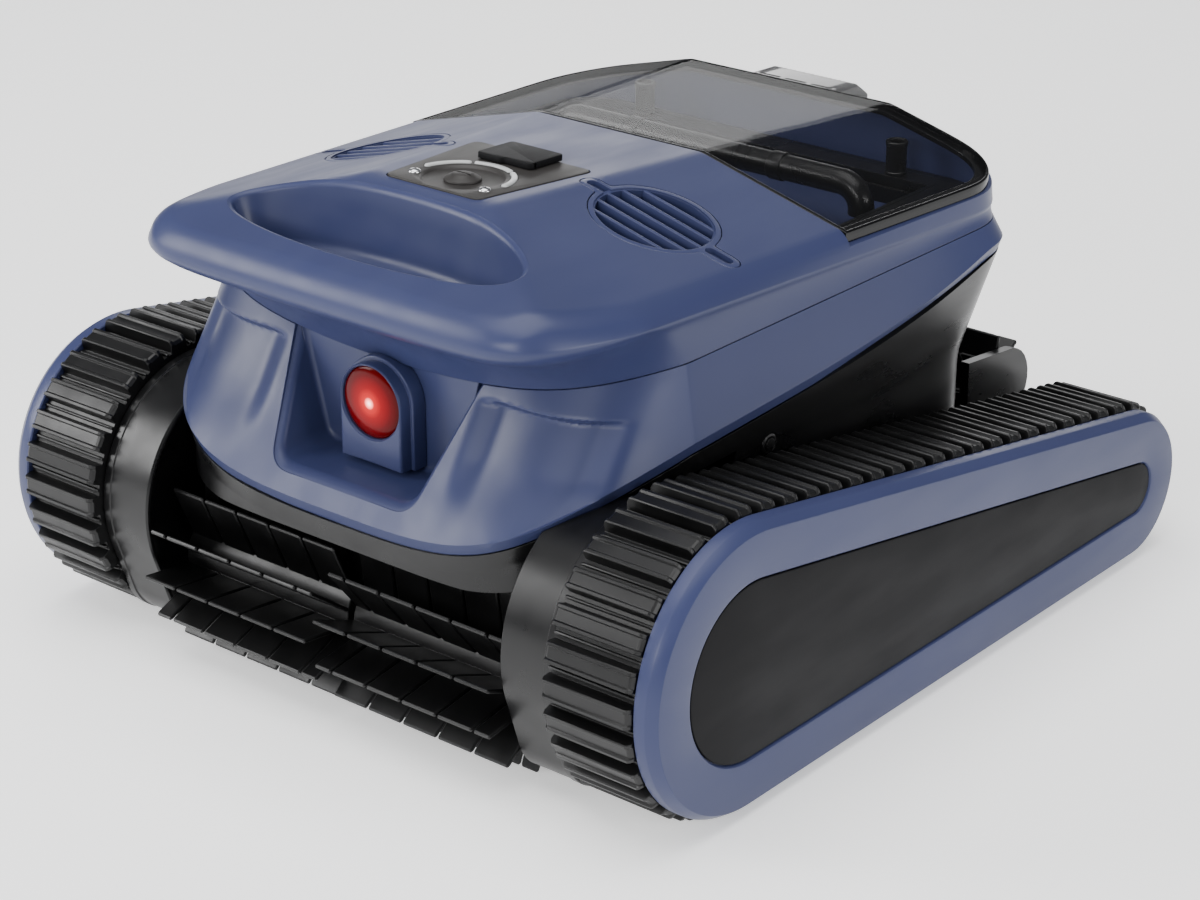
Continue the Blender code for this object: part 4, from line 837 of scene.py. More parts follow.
class CLEANER_OT_panel(bpy.types.Operator):
    """Adds the control panel with its dial, light bars, screws and the sealing flap of the port"""
    bl_idname = "cleaner.panel"
    bl_label = "Control panel"

    def execute(self, context):
        base = panel_frame()
        shift = (0.0, back(PANEL["dial"]))
        plate = raw("control_plate", slab(panel_curve(-0.0002) - shift,
                                          rounded(-0.0020, 0.0004, 0.0, 0.0004, 3), base))
        well = turned([(0.0, 0.02), (0.0210, 0.02), (0.0204, 0.0004), (0.0197, 0.0001), (0.0190, -0.0004),
                       (0.0186, -0.0009), (0.0180, -0.0011), (0.0, -0.0011)], base, 96)
        cutters = [raw("well", well)]
        for middle in LIGHT_BARS:
            levels = [(0.0003, -0.0010), (0.0003, 0.02)]
            cutters.append(raw("slot", slab(light_curve(middle), levels, base)))
        carve(plate, *cutters)
        piece(plate, LOOKS["plate"], "hull", "control_panel", slot="plate")
        for middle, word in LIGHT_BARS.items():
            bar = raw(f"light_{word}", slab(light_curve(middle), rounded(-0.0008, 0.0012, 0.0, 0.0008, 4),
                                            base))
            piece(bar, LOOKS["bar"], "hull", f"light_bar_{word}", slot="light")
        dial = raw("dial_knob", turned([
            (0.0, -0.0009), (0.0088, -0.0009), (0.0086, 0.0000), (0.0074, 0.0008), (0.0058, 0.0012),
            (0.0050, 0.0020), (0.0036, 0.0024), (0.0, 0.0025)], base, 72))
        groove = raw("groove", slab(round_box((-0.0050, -0.0006), (0.0050, 0.0006), 0.0005, 3),
                                    [(0.0, 0.0010), (0.0, 0.01)], base))
        piece(carve(dial, groove), LOOKS["plate"], "power_dial", "power_dial", slot="plate")
        for side, word in SIDES:
            place = np.array([side * SCREW["x"], SCREW["back"] - PANEL["dial"], 0.0])
            spot = axes(into(base, place), base[:3, 0], base[:3, 1], base[:3, 2])
            a = np.linspace(0.0, 0.5 * math.pi, 8)
            dome = np.stack([SCREW["radius"] * np.cos(a), 0.0005 + SCREW["crown"] * np.sin(a)], -1)
            head = raw(f"screw_{word}", turned([(0.0, 0.0003), (SCREW["radius"], 0.0003), *dome], spot, 40))
            cross = [raw("cross", slab(round_box((-u, -v), (u, v), 0.0002, 2),
                                       [(-0.0001, 0.0009), (0.0001, 0.006)], spot))
                     for u, v in ((0.0015, 0.0004), (0.0004, 0.0015))]
            piece(carve(head, *cross), LOOKS["steel"], "hull", f"panel_screw_{word}", slot="steel")
        low = (-FLAP["half"], FLAP["front"] - PANEL["dial"])
        high = (FLAP["half"], FLAP["rear"] - PANEL["dial"])
        flap = spread(round_box(low, high, 0.0022), 200)
        notch = np.clip((flap[:, 0] + 0.0015) / 0.0016, 0.0, 1.0) * (flap[:, 1] < low[1] + 0.004)
        flap[:, 1] += 0.0016 * notch
        cover = raw("port_cover", slab(flap, rounded(0.0008, 0.0038, 0.0003, 0.0006, 3), base))
        piece(cover, LOOKS["matt"], "charge_flap", "charge_flap", slot="matt")
        return {"FINISHED"}


# ------------------------------------------------------------------ nose shell and lamp

RIM_BAND = 0.0056
NOSE_FOOT_Z = 0.1054


def nose_lines(inset, fine, count, gap):
    """Rows of the blue shell: lower rim, chamfer, and a face that leans in to the deck's seam."""
    rim = outline(RIM, inset, fine)
    under = outline(RIM, inset + 0.0020, fine)
    lip = outline(LIP, inset, fine)
    low = row(under, rim_z(under[:, 2]))
    edge = row(rim, rim_z(rim[:, 2]) + RIM_BAND)
    high = row(lip, edge_z(lip[:, 2], LIP_RISE) - gap)
    shares = np.linspace(0.0, 1.0, count)
    return low, edge, [edge + (high - edge) * share for share in shares]


def scoop_depth(x, z):
    """How far the two shallow hollows of the nose go in: smooth steps across and up, a sharp top edge."""
    def step(value, start, end):
        share = np.clip((value - start) / (end - start), 0.0, 1.0)
        return share * share * (3.0 - 2.0 * share)
    across = np.abs(x)
    outer = 0.1235 - 0.026 * np.clip((0.142 - z) / 0.030, 0.0, 1.0) ** 2
    inside = step(across, 0.056, 0.074) * (1.0 - step(across, outer - 0.0065, outer + 0.0065))
    return 0.0052 * inside * step(z, 0.112, 0.142) * (1.0 - step(z, 0.1625, 0.1665))


def nose_surface(x, z):
    """World Y of the nose's face over x and z, straight between the rim's and the lip's front."""
    def front(spec):
        half = SIDE - spec[2][0]
        t = np.clip(np.abs(x) / half, 0.0, 1.0)
        return back(spec[0]) + spec[3][0] * t ** spec[3][1]
    low, high = NOSE_FOOT_Z, LIP_RISE[0]
    share = np.clip((z - low) / (high - low), 0.0, 1.4)
    return front(RIM) + (front(LIP) - front(RIM)) * share


LAMP = {"half": 0.0193, "front": back(-0.0228), "back": back(-0.0075), "foot": 0.1240, "centre": 0.1495,
        "lens": 0.0172}


def lamp_pocket(grow, rounding):
    """Cutter of the pocket: a trapezoid with round lower corners, flared where it meets the face."""
    left = arc((-0.0345, 0.1260), 0.009, 215, 270, 12)
    right = arc((0.0345, 0.1260), 0.009, 270, 325, 12)
    curve = np.concatenate([left, right, [(0.0600, 0.1900), (-0.0600, 0.1900)]])
    curve = smoothed(spread(curve, 220), 4)
    rows = []
    fillet = 0.0025
    for a in np.radians(np.linspace(0, 90, 5)):
        ring = grown(curve, grow - fillet * (1 - math.sin(a)))
        depth = np.full(len(ring), LAMP["back"] + grow - fillet * (1 - math.cos(a)))
        rows.append(np.column_stack([ring[:, 0], depth, ring[:, 1]]))
    for a in np.radians(np.linspace(90, 15, 8)):
        ring = grown(curve, grow + rounding * (1 - math.sin(a)))
        face = nose_surface(ring[:, 0], ring[:, 1])
        rows.append(np.column_stack([ring[:, 0], face + rounding * (1 - math.cos(a)), ring[:, 1]]))
    rows.append(rows[-1] - (0.0, 0.04, 0.0))
    return grid(np.stack(rows))


class CLEANER_OT_nose(bpy.types.Operator):
    """Adds the blue shell under the deck, with the lamp's pocket and two shallow hollows"""
    bl_idname = "cleaner.nose"
    bl_label = "Nose shell"

    def execute(self, context):
        size = context.scene.cleaner_sizes
        wall = size.shell_wall
        low, edge, face = nose_lines(0.0, 1.5, 56, size.seam)
        for points in face:
            depth = scoop_depth(points[:, 0], points[:, 2]) * (points[:, 1] < back(0.06))
            points[:, 1] += depth
            points[:, 0] -= 0.35 * depth * np.sign(points[:, 0])
        rows = [low] + [low + (edge - low) * s for s in (0.12, 0.5, 0.92)] + face
        shell = raw("nose_shell", grid(np.stack(rows)))
        under, _, inner = nose_lines(wall + 0.0045, 0.6, 6, -0.02)
        hollow = raw("nose_hollow", grid(np.stack([under - (0, 0, 0.03)] + inner)))
        carve(hollow, raw("pocket_walls", lamp_pocket(wall, 0.0)))
        carve(shell, hollow)
        carve(shell, raw("lamp_pocket", lamp_pocket(0.0, 0.0042)))
        piece(shell, LOOKS["shell"], "hull", "mid_shell", slot="blue")
        return {"FINISHED"}


class CLEANER_OT_lamp(bpy.types.Operator):
    """Adds the arch-topped lamp housing and its red lens"""
    bl_idname = "cleaner.lamp"
    bl_label = "Status lamp"

    def execute(self, context):
        def arch(half, foot):
            top = arc((0.0, LAMP["centre"]), half, 0, 180, 48)
            return np.concatenate([[(-half, foot), (0.0, foot), (half, foot)], top])

        facing = axes((0.0, LAMP["back"], 0.0), (1, 0, 0), (0, 0, 1), (0, -1, 0))
        depth = LAMP["back"] - LAMP["front"]
        front = raw("lamp_housing", slab(arch(LAMP["half"] - 0.0006, LAMP["foot"] - 0.004),
                                         rounded(0.0003, depth, 0.0, 0.0014, 4), facing))
        hood = raw("hood", slab(arch(LAMP["half"] + 0.0012, LAMP["foot"] - 0.0044),
                                rounded(0.0005, depth * 0.56, 0.0, 0.0008, 3), facing))
        weld(front, hood)
        seat = axes((0.0, LAMP["front"], LAMP["centre"]), (1, 0, 0), (0, 0, 1), (0, -1, 0))
        wide, tight = LAMP["lens"] + 0.0012, LAMP["lens"] + 0.0002
        carve(front, raw("seat", turned([(0.0, 0.01), (wide, 0.01), (wide, 0.0003), (tight, -0.0010),
                                         (tight, -0.0040), (0.0, -0.0040)], seat, 96)))
        deck = raw("deck_over", closed_below(deck_lines(-0.0005, -0.0005, 0.5, 0.004, 0.0035, 8)))
        carve(front, deck)
        piece(front, LOOKS["shell"], "hull", "lens_pod", slot="blue")
        a = np.linspace(0.0, 0.5 * math.pi, 14)
        dome = np.stack([LAMP["lens"] * np.cos(a), -0.0022 + 0.0024 * np.sin(a)], -1)
        lens = raw("lamp_lens", turned([(0.0, -0.0037), (LAMP["lens"], -0.0037), *dome], seat, 96))
        glow = lamp_glass("lit red lens", context.scene.cleaner_colours.lamp,
                          (0.0, LAMP["front"], LAMP["centre"]), LAMP["lens"])
        piece(lens, glow, "hull", "status_lens", slot="red")
        return {"FINISHED"}


# ------------------------------------------------------------------ tracks

def loop(share, inset):
    """Points (y, z) on the belt's outline, inset from the lug tips.

    Two circles about the axles joined by their outer tangents; the share runs along the ground from
    the rear axle, up round the front, back over the top and down round the rear.
    """
    base = REAR_Y - AXLE_Y
    tilt = 2.0 * math.asin((FRONT_R - REAR_R) / math.hypot(base, FRONT_R - REAR_R))
    high = 0.5 * math.pi - tilt
    lengths = np.array([base, (1.5 * math.pi - high) * FRONT_R, base, (high + 0.5 * math.pi) * REAR_R])
    ends = np.concatenate([[0.0], np.cumsum(lengths)])
    way = np.mod(share, 1.0) * ends[-1]
    leg = np.clip(np.searchsorted(ends, way, side="right") - 1, 0, 3)
    along = way - ends[leg]
    angle = np.select([leg == 0, leg == 1, leg == 2],
                      [-0.5 * math.pi + 0.0 * along, 1.5 * math.pi - along / FRONT_R, high + 0.0 * along],
                      high - along / REAR_R)
    normal = np.stack([np.cos(angle), np.sin(angle)], -1)
    front = np.array([AXLE_Y, FRONT_R])
    rear = np.array([REAR_Y, REAR_R])
    top_start = front + FRONT_R * np.array([math.cos(high), math.sin(high)])
    top_end = rear + REAR_R * np.array([math.cos(high), math.sin(high)])
    straight = (along / base)[..., None]
    spots = np.select([(leg == 0)[..., None], (leg == 1)[..., None], (leg == 2)[..., None]],
                      [np.stack([REAR_Y - along, 0.0 * along], -1), front + normal * FRONT_R,
                       top_start + (top_end - top_start) * straight], rear + normal * REAR_R)
    inset = np.asarray(inset, float)[..., None] if np.ndim(inset) else inset
    return spots - normal * inset


LUGS = 60


def lug_profile(height):
    """(place in one pitch, depth below the lug tips) across half a lug and half a groove."""
    return np.array([(0.0, 0.0011), (0.150, 0.0011), (0.185, 0.0), (0.262, 0.0), (0.283, 0.0005),
                     (0.325, height - 0.0003), (0.340, height), (0.452, height), (0.462, height - 0.0014),
                     (0.488, height - 0.0016)])


class CLEANER_OT_tracks(bpy.types.Operator):
    """Adds the two rubber tracks: square lugs with raised edges, and a rib in each groove"""
    bl_idname = "cleaner.tracks"
    bl_label = "Tracks"

    def execute(self, context):
        size = context.scene.cleaner_sizes
        half = lug_profile(size.lug_height)
        place = np.concatenate([-half[:0:-1, 0], half[:, 0]])
        depth = np.concatenate([half[:0:-1, 1], half[:, 1]])
        share = (np.arange(LUGS)[:, None] + place[None]).ravel() / LUGS
        depth = np.tile(depth, LUGS)
        floor = size.lug_height
        # distance in from the belt's edge, and how much of the lug's height is there
        across = [(0.0, 0.0), (0.0, 0.62), (0.0010, 0.90), (0.0020, 1.0)]
        inner = loop(share, floor + size.belt)
        for side, word in SIDES:
            rows = []
            for inset, rise in across + [(TRACK_W - a, b) for a, b in reversed(across)]:
                line = loop(share, floor - (floor - depth) * rise)
                rows.append(np.column_stack([np.full(len(line), side * (SIDE + inset)), line]))
            for inset in (TRACK_W, 0.0):
                rows.append(np.column_stack([np.full(len(inner), side * (SIDE + inset)), inner]))
            belt = raw(f"belt_{word}", ring_grid(np.stack(rows)))
            piece(belt, LOOKS["rubber"], "hull", f"track_{word}", slot="rubber", sharp=28.0)
        return {"FINISHED"}


COVER = {"inset": 0.0033, "panel": 0.0255, "recess": 0.0023}


def loop_row(side, x, inset, count=300):
    line = loop(np.linspace(0.0, 1.0, count, endpoint=False), inset)
    return np.column_stack([np.full(count, side * x), line])


class CLEANER_OT_covers(bpy.types.Operator):
    """Adds the blue side covers with their chamfered edge and the black inset panels"""
    bl_idname = "cleaner.covers"
    bl_label = "Side covers"

    def execute(self, context):
        size = context.scene.cleaner_sizes
        inner_x = SIDE + TRACK_W + 0.0003
        edge = size.cover_edge
        c, p = COVER["inset"], COVER["inset"] + COVER["panel"]
        for side, word in SIDES:
            levels = [(inner_x, p + 0.004), (inner_x, c + 0.0006), (inner_x + 0.0006, c),
                      (OUTSIDE - edge - 0.0004, c), (OUTSIDE - edge + 0.0003, c + 0.0003),
                      (OUTSIDE - 0.0007, c + 0.60 * edge), (OUTSIDE - 0.0001, c + 0.72 * edge),
                      (OUTSIDE, c + 0.90 * edge), (OUTSIDE, p - 0.0022), (OUTSIDE - 0.0003, p - 0.0009),
                      (OUTSIDE - 0.0011, p - 0.0002), (OUTSIDE - COVER["recess"], p),
                      (OUTSIDE - COVER["recess"], p + 0.004)]
            rows = np.stack([loop_row(side, x, inset) for x, inset in levels])
            shell = raw(f"side_shell_{word}", ring_grid(rows))
            piece(shell, LOOKS["shell"], "hull", f"side_cover_{word}", slot="blue")
            levels = [(OUTSIDE - COVER["recess"], p + 0.0004), (OUTSIDE - 0.0013, p + 0.0004),
                      (OUTSIDE - 0.0009, p + 0.0006), (OUTSIDE - 0.0007, p + 0.0010)]
            rows = np.stack([loop_row(side, x, inset) for x, inset in levels])
            panel = raw(f"side_inlay_{word}", grid(rows))
            piece(panel, LOOKS["matt"], "hull", f"inset_panel_{word}", slot="matt")
        return {"FINISHED"}


# ------------------------------------------------------------------ chassis, fenders and plugs

FENDER_IN = SIDE - 0.0305
FENDER_R = 0.0620
TOE = (AXLE_Y - 0.026, 0.0335, 0.0255)
BRUSH = {"y": back(-0.0235), "z": 0.0470, "core": 0.0165, "tip": 0.0445, "rows": 12,
         "tiles": 5, "bore": 0.0045}
ROLLER = {"core": 0.0120, "tip": 0.0250, "rows": 8, "phase": 12.0, "tiles": 9, "bore": 0.0043}
APRON_Z = 0.0885
FLOOR_Z = 0.0125


def fender_curve(inset):
    """Outline (y, z) round the wheel's axle and a smaller toe in front, joined by their tangents."""
    cy, cz, radius = TOE
    dy, dz = cy - AXLE_Y, cz - FRONT_R
    opened = math.degrees(math.acos((FENDER_R - radius) / math.hypot(dy, dz)))
    heading = math.degrees(math.atan2(dz, dy))
    return np.concatenate([
        arc((AXLE_Y, FRONT_R), FENDER_R - inset, heading + opened, heading + 360 - opened, 110),
        arc((cy, cz), radius - inset, heading - opened, heading + opened, 30)])


def in_yz(curve, x):
    return np.column_stack([np.full(len(curve), x), curve])


def hull_row(inset, height, spec=HULL, fine=0.8):
    line = outline(spec, inset, fine)
    return row(line, height(line[:, 2]) if callable(height) else height)


def knee_z(share):
    return edge_z(share, KNEE_RISE)


def bay_curve(grow):
    """The brush's room seen from the side: a round back, a flat roof, open in front and below."""
    radius = BRUSH["tip"] + 0.0025 + grow
    roof = APRON_Z + grow
    last = 180.0 - math.degrees(math.asin((roof - BRUSH["z"]) / radius))
    curve = arc((BRUSH["y"], BRUSH["z"]), radius, -90, last, 70)
    return np.concatenate([curve, [(-0.5, roof), (-0.5, -0.1), (BRUSH["y"], -0.1)]])


def bay_cutter(name, grow):
    curve = bay_curve(grow)
    return raw(name, grid(np.stack([in_yz(curve, -0.25), in_yz(curve, 0.25)])))


def block(low, high, radius=0.002):
    return slab(round_box(low[:2], high[:2], radius, 5), [(0.0, low[2]), (0.0, high[2])])


class CLEANER_OT_chassis(bpy.types.Operator):
    """Adds the black chassis tub, the round wheel guards and the screw caps of the flanks"""
    bl_idname = "cleaner.chassis"
    bl_label = "Chassis"

    def execute(self, context):
        wall = context.scene.cleaner_sizes.shell_wall
        gap = 0.0003

        def top_z(share):
            return rim_z(share) - gap

        foot, knee = hull_row(0.0, FLOOR_Z + 0.0100), hull_row(0.0, knee_z)
        rim = hull_row(0.0010, top_z, RIM)
        rows = [hull_row(inset, FLOOR_Z + height)
                for inset, height in ((0.0040, 0.0), (0.0030, 0.0006), (0.0016, 0.0040))]
        rows += [foot + (knee - foot) * share for share in np.linspace(0.0, 0.93, 9)]
        bend = foot + (knee - foot) * 0.93
        flare = knee + (rim - knee) * 0.12
        rows += parabola(bend, knee, flare, 6)
        rows += [flare + (rim - flare) * share for share in np.linspace(0.0, 1.0, 8)[1:]]
        tub = raw("chassis_tub", grid(np.stack(rows)))
        hollow = raw("tub_hollow", grid(np.stack([
            hull_row(wall + 0.003, FLOOR_Z + wall), hull_row(wall, FLOOR_Z + 0.012), hull_row(wall, knee_z),
            hull_row(0.0010 + wall, rim_z, RIM), hull_row(0.0010 + wall, 0.2, RIM)])))
        reach = AXLE_Y + FRONT_R - 0.004
        for grow, target in ((wall, hollow), (0.0, tub)):
            cutters = [bay_cutter("bay", grow)]
            for side, _ in SIDES:
                near = side * (FENDER_IN - grow - gap)
                far = side * 0.3
                cutters.append(raw("wheel_room", block((min(near, far), -0.5, -0.1),
                                                       (max(near, far), reach + grow,
                                                        FRONT_R + FENDER_R + 0.0015 + grow))))
            carve(target, *cutters)
        low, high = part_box("intake_flap_front")[0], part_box("intake_flap_rear")[1]
        lap = 0.004
        carve(tub, hollow, raw("intake", block((low.x + lap, low.y + lap, 0.0),
                                               (high.x - lap, high.y - lap, FLOOR_Z + 0.006))))
        holes = []
        for side, word in SIDES:
            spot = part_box(f"side_plug_{word}")
            y, z = (spot[0].y + spot[1].y) / 2, (spot[0].z + spot[1].z) / 2
            at = side_axes(side, side * (SIDE - 0.0070), y, z)
            r = 0.0058
            bore = [(0.0, -0.02), (r, -0.02), (r, 0.02), (0.0, 0.02)]
            holes.append(raw("plug_hole", turned(bore, at, 40)))
            r = 0.0055
            cap = raw(f"flank_cap_{word}", turned([
                (0.0, 0.0), (r, 0.0), (r, 0.0042), (r - 0.0005, 0.0047), (r * 0.72, 0.0049),
                (r * 0.66, 0.0040), (r * 0.60, 0.0040), (r * 0.56, 0.0052), (0.0, 0.0054)], at, 40))
            piece(cap, LOOKS["black"], "hull", f"side_plug_{word}", slot="black")
        carve(tub, *holes)
        piece(tub, LOOKS["black"], "hull", "lower_tub", slot="black")
        for side, word in SIDES:
            near, far = side * FENDER_IN, side * (SIDE - gap)
            levels = [(near + side * 0.0030, 0.008), (near + side * 0.0004, 0.0030), (near, 0.0022),
                      (near + side * 0.0002, 0.0008), (near + side * 0.0010, 0.0),
                      (far - side * 0.0050, 0.0), (far - side * 0.0046, -0.0005),
                      (far - side * 0.0006, -0.0005), (far, 0.0),
                      (far, 0.0025), (near + side * 0.0045, 0.0025), (near + side * 0.0045, 0.008)]
            rows = np.stack([in_yz(fender_curve(inset), x) for x, inset in levels])
            guard = raw(f"wheel_guard_{word}", grid(rows))
            carve(guard, raw("shell_room", grid(np.stack([hull_row(-gap, lambda s: rim_z(s) - gap, RIM),
                                                          hull_row(-gap, 0.25, RIM)]))))
            piece(guard, LOOKS["black"], "hull", f"fender_{word}", slot="black")
        return {"FINISHED"}


# ------------------------------------------------------------------ brushes and rear roller

def tile(x, width, root, tip, angle, thick=0.0020, sweep=-14.0):
    """A flat swept rubber tile across (x, x + width), its free corners and edges cut back."""
    turn = math.radians(angle), math.radians(angle + sweep)
    start = (root - 0.001) * np.array([math.cos(turn[0]), math.sin(turn[0])])
    end = tip * np.array([math.cos(turn[1]), math.sin(turn[1])])
    along = (end - start) / np.linalg.norm(end - start)
    normal = np.array([-along[1], along[0]]) * thick * 0.5
    cut = 0.0007
    ends = []
    for place, back_off in ((x, cut), (x + cut, 0.0), (x + width - cut, 0.0), (x + width, cut)):
        scale = 0.5 if back_off else 1.0
        far = end - along * back_off
        ring = np.stack([
            start + normal * scale, far - along * cut + normal * scale, far + 0.5 * normal * scale,
            far - 0.5 * normal * scale, far - along * cut - normal * scale, start - normal * scale])
        ends.append(np.column_stack([np.full(len(ring), place), ring]))
    return np.stack(ends)


def brush_shapes(x0, x1, y, z, core, tip, rows, phase, tiles, bore):
    """A core round X and rows of separate tiles, each row shifted by half a tile."""
    at = side_axes(1, 0.0, y, z)
    shapes = [turned([(bore, x0 + 0.0003), (core - 0.0006, x0 + 0.0003), (core, x0 + 0.0009),
                      (core, x1 - 0.0009), (core - 0.0006, x1 - 0.0003), (bore, x1 - 0.0003)],
                     at, 72, True)]
    pitch = (x1 - x0) / tiles
    for i in range(rows):
        shift = 0.5 * pitch * (i % 2)
        edges = np.concatenate([[x0], x0 + shift + pitch * np.arange(tiles + 1), [x1]])
        edges = np.unique(np.round(np.clip(edges, x0, x1), 7))
        for a, b in zip(edges[:-1], edges[1:]):
            if b - a > 0.004:
                cloud = tile(a + 0.0006, b - a - 0.0012, core, tip, phase + 360.0 * i / rows)
                cloud = cloud + (0.0, y, z)
                shapes.append(grid(cloud))
    return shapes


class CLEANER_OT_brushes(bpy.types.Operator):
    """Adds the two halves of the front brush and the roller behind"""
    bl_idname = "cleaner.brushes"
    bl_label = "Brushes"

    def execute(self, context):
        for side, word in SIDES:
            low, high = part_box(f"front_brush_{word}")
            phase = 0.0 if side > 0 else 180.0 / BRUSH["rows"]
            shapes = brush_shapes(low.x, high.x, BRUSH["y"], BRUSH["z"], BRUSH["core"], BRUSH["tip"],
                                  BRUSH["rows"], phase, BRUSH["tiles"], BRUSH["bore"])
            half = raw(f"brush_half_{word}", *shapes)
            piece(half, LOOKS["rubber"], f"front_brush_{word}", f"front_brush_{word}", slot="rubber",
                  sharp=24.0)
        y, z = JOINTS["rear_roller_spin"]["pos_m"][1:]
        low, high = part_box("rear_roller")
        shapes = brush_shapes(low.x, high.x, y, z, ROLLER["core"], ROLLER["tip"], ROLLER["rows"],
                              ROLLER["phase"], ROLLER["tiles"], ROLLER["bore"])
        piece(raw("rear_brush", *shapes), LOOKS["rubber"], "rear_roller", "rear_roller", slot="rubber")
        return {"FINISHED"}


# ------------------------------------------------------------------ lid

class CLEANER_OT_lid(bpy.types.Operator):
    """Adds the smoked window, its black rim and the finger tab"""
    bl_idname = "cleaner.lid"
    bl_label = "Lid"

    def execute(self, context):
        window = raw("lid_pane", lid_solid(inset=0.0012, front=LID_Y + 0.0022, low=-0.0022, high=0.0,
                                           edge=0.0008))
        rim = raw("lid_frame", lid_solid(inset=0.0004, front=LID_Y + 0.0003, low=-0.0050, high=-0.0026))
        carve(rim, raw("lid_hole", lid_solid(inset=0.0075, front=LID_Y + 0.0040, low=-0.03, high=0.02)))
        edge = raw("lid_edge", lid_solid(inset=0.0004, front=LID_Y + 0.0003, low=-0.0040, high=0.0001,
                                         edge=0.0006))
        carve(edge, raw("lid_inside", lid_solid(inset=0.0016, front=LID_Y + 0.0026, low=-0.03, high=0.02)))
        weld(rim, edge)
        piece(window, LOOKS["smoke"], "lid", "lid_window", slot="smoke")
        piece(rim, LOOKS["gloss"], "lid", "lid_rim", slot="black")
        self.tab()
        return {"FINISHED"}

    def tab(self):
        """A grip with a lip in front, cut-back corners below and three slots on its top."""
        low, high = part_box("lid_tab")
        top = high.z - 0.0002
        y0, y1 = low.y + 0.0002, high.y
        lip = y0 - 0.0032
        side = np.array([(y1 - 0.0105, top - 0.0010), (lip, top), (lip, top - 0.0022), (y0, top - 0.0026),
                         (y0, top - 0.0108), (y0 + 0.0080, top - 0.0132), (y1 - 0.0030, top - 0.0132),
                         (y1, top - 0.0108), (y1, top - 0.0085)])
        side = smoothed(spread(side, 160), 2)
        half = high.x
        tab = raw("finger_tab", slab(side, rounded(-half, half, 0.0016, 0.0016, 4), side_axes(1)))
        slots = [raw("slot", block((x - 0.0068, y1 - 0.0290, top - 0.0022),
                                   (x + 0.0068, y1 - 0.0268, top + 0.01), 0.0010))
                 for x in (-0.0165, 0.0, 0.0165)]
        carve(tab, *slots)
        piece(tab, LOOKS["tab"], "lid", "lid_tab", slot="smoke")


class CLEANER_OT_basket(bpy.types.Operator):
    """Adds the basket's round handle, the plate round its bay and the two hollow lid posts"""
    bl_idname = "cleaner.basket"
    bl_label = "Filter handle and posts"

    def execute(self, context):
        low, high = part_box("basket_handle")
        radius = 0.0065
        y = (low.y + high.y) / 2
        bend = 0.012
        x, z = high.x - radius, high.z - radius
        half = np.concatenate([[(x, low.z), (x, z - bend - 0.0005)],
                               arc((x - bend, z - bend), bend, 0, 90, 14)])
        path = np.concatenate([half, half[::-1] * (-1, 1)])
        path = np.column_stack([path[:, 0], np.full(len(path), y), path[:, 1]])
        grip = raw("carry_handle", tube(path, radius, 28))
        bands = [raw("band", slab(circle(radius + 0.0007, 40) + (y, z),
                                  rounded(c - 0.004, c + 0.004, 0.0005, 0.0005), side_axes(1)))
                 for c in (-0.045, 0.045)]
        weld(grip, *bands)
        piece(grip, LOOKS["black"], "hull", "basket_handle", slot="black")
        low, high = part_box("filter_bay")
        plate = flat_cut("bay_surround", lid_plan(0.0052, LID_Y + 0.0010), high.z - 0.0030, high.z - 0.0008)
        ledge = 0.012
        room = round_box((low.x + ledge, low.y + ledge), (high.x - ledge, high.y - ledge), 0.004)
        carve(plate, flat_cut("bay_room", room, 0.15, 0.25))
        soften(plate, 0.0006)
        piece(plate, LOOKS["black"], "hull", slot="black")
        for side, word in SIDES:
            low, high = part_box(f"lid_post_{word}")
            r = (high.x - low.x) / 2
            at = axes(((low.x + high.x) / 2, (low.y + high.y) / 2, low.z), (1, 0, 0), (0, 1, 0), (0, 0, 1))
            tall = high.z - low.z
            post = raw(f"post_{word}", turned([
                (0.0, 0.0), (r, 0.0), (r, 0.0012), (r - 0.0004, 0.0016), (r - 0.0004, tall - 0.0026),
                (r, tall - 0.0022), (r, tall - 0.0004), (r - 0.0004, tall), (r - 0.0014, tall),
                (r - 0.0018, tall - 0.0005), (r - 0.0018, 0.004), (0.0, 0.004)], at, 48))
            piece(post, LOOKS["black"], "hull", f"lid_post_{word}", slot="black")
        return {"FINISHED"}


# ------------------------------------------------------------------ stage

CAMERA_SPOT = np.array([0.86189, -1.05464, 0.66320])
CAMERA_AIM = np.array([0.122, -0.1567, 0.1555])
CAMERA_LENS = 88.89
CAMERA_SENSOR = 36.0
FLOOR_REACH = 6.0
FLOOR_GLOW = 0.55
SKY_COLOUR = (0.92, 0.94, 1.0, 1.0)
SKY_STRENGTH = 0.22
# name, place, the point it faces, width and height, power in watts
LIGHTS = (("rear", (-1.75, 2.45, 0.85), (0.0, 0.1, 0.20), (2.3, 0.55), 15.0),
          ("left", (-1.70, -1.50, 1.00), (0.0, -0.1, 0.12), (0.9, 1.2), 42.0),
          ("front", (0.40, -2.40, 1.10), (0.0, -0.1, 0.10), (1.6, 0.6), 34.0),
          ("right", (2.50, 0.10, 0.80), (0.2, 0.0, 0.05), (1.4, 0.5), 30.0),
          ("top", (0.0, -0.4, 3.00), (0.0, 0.0, 0.0), (3.0, 3.0), 135.0))


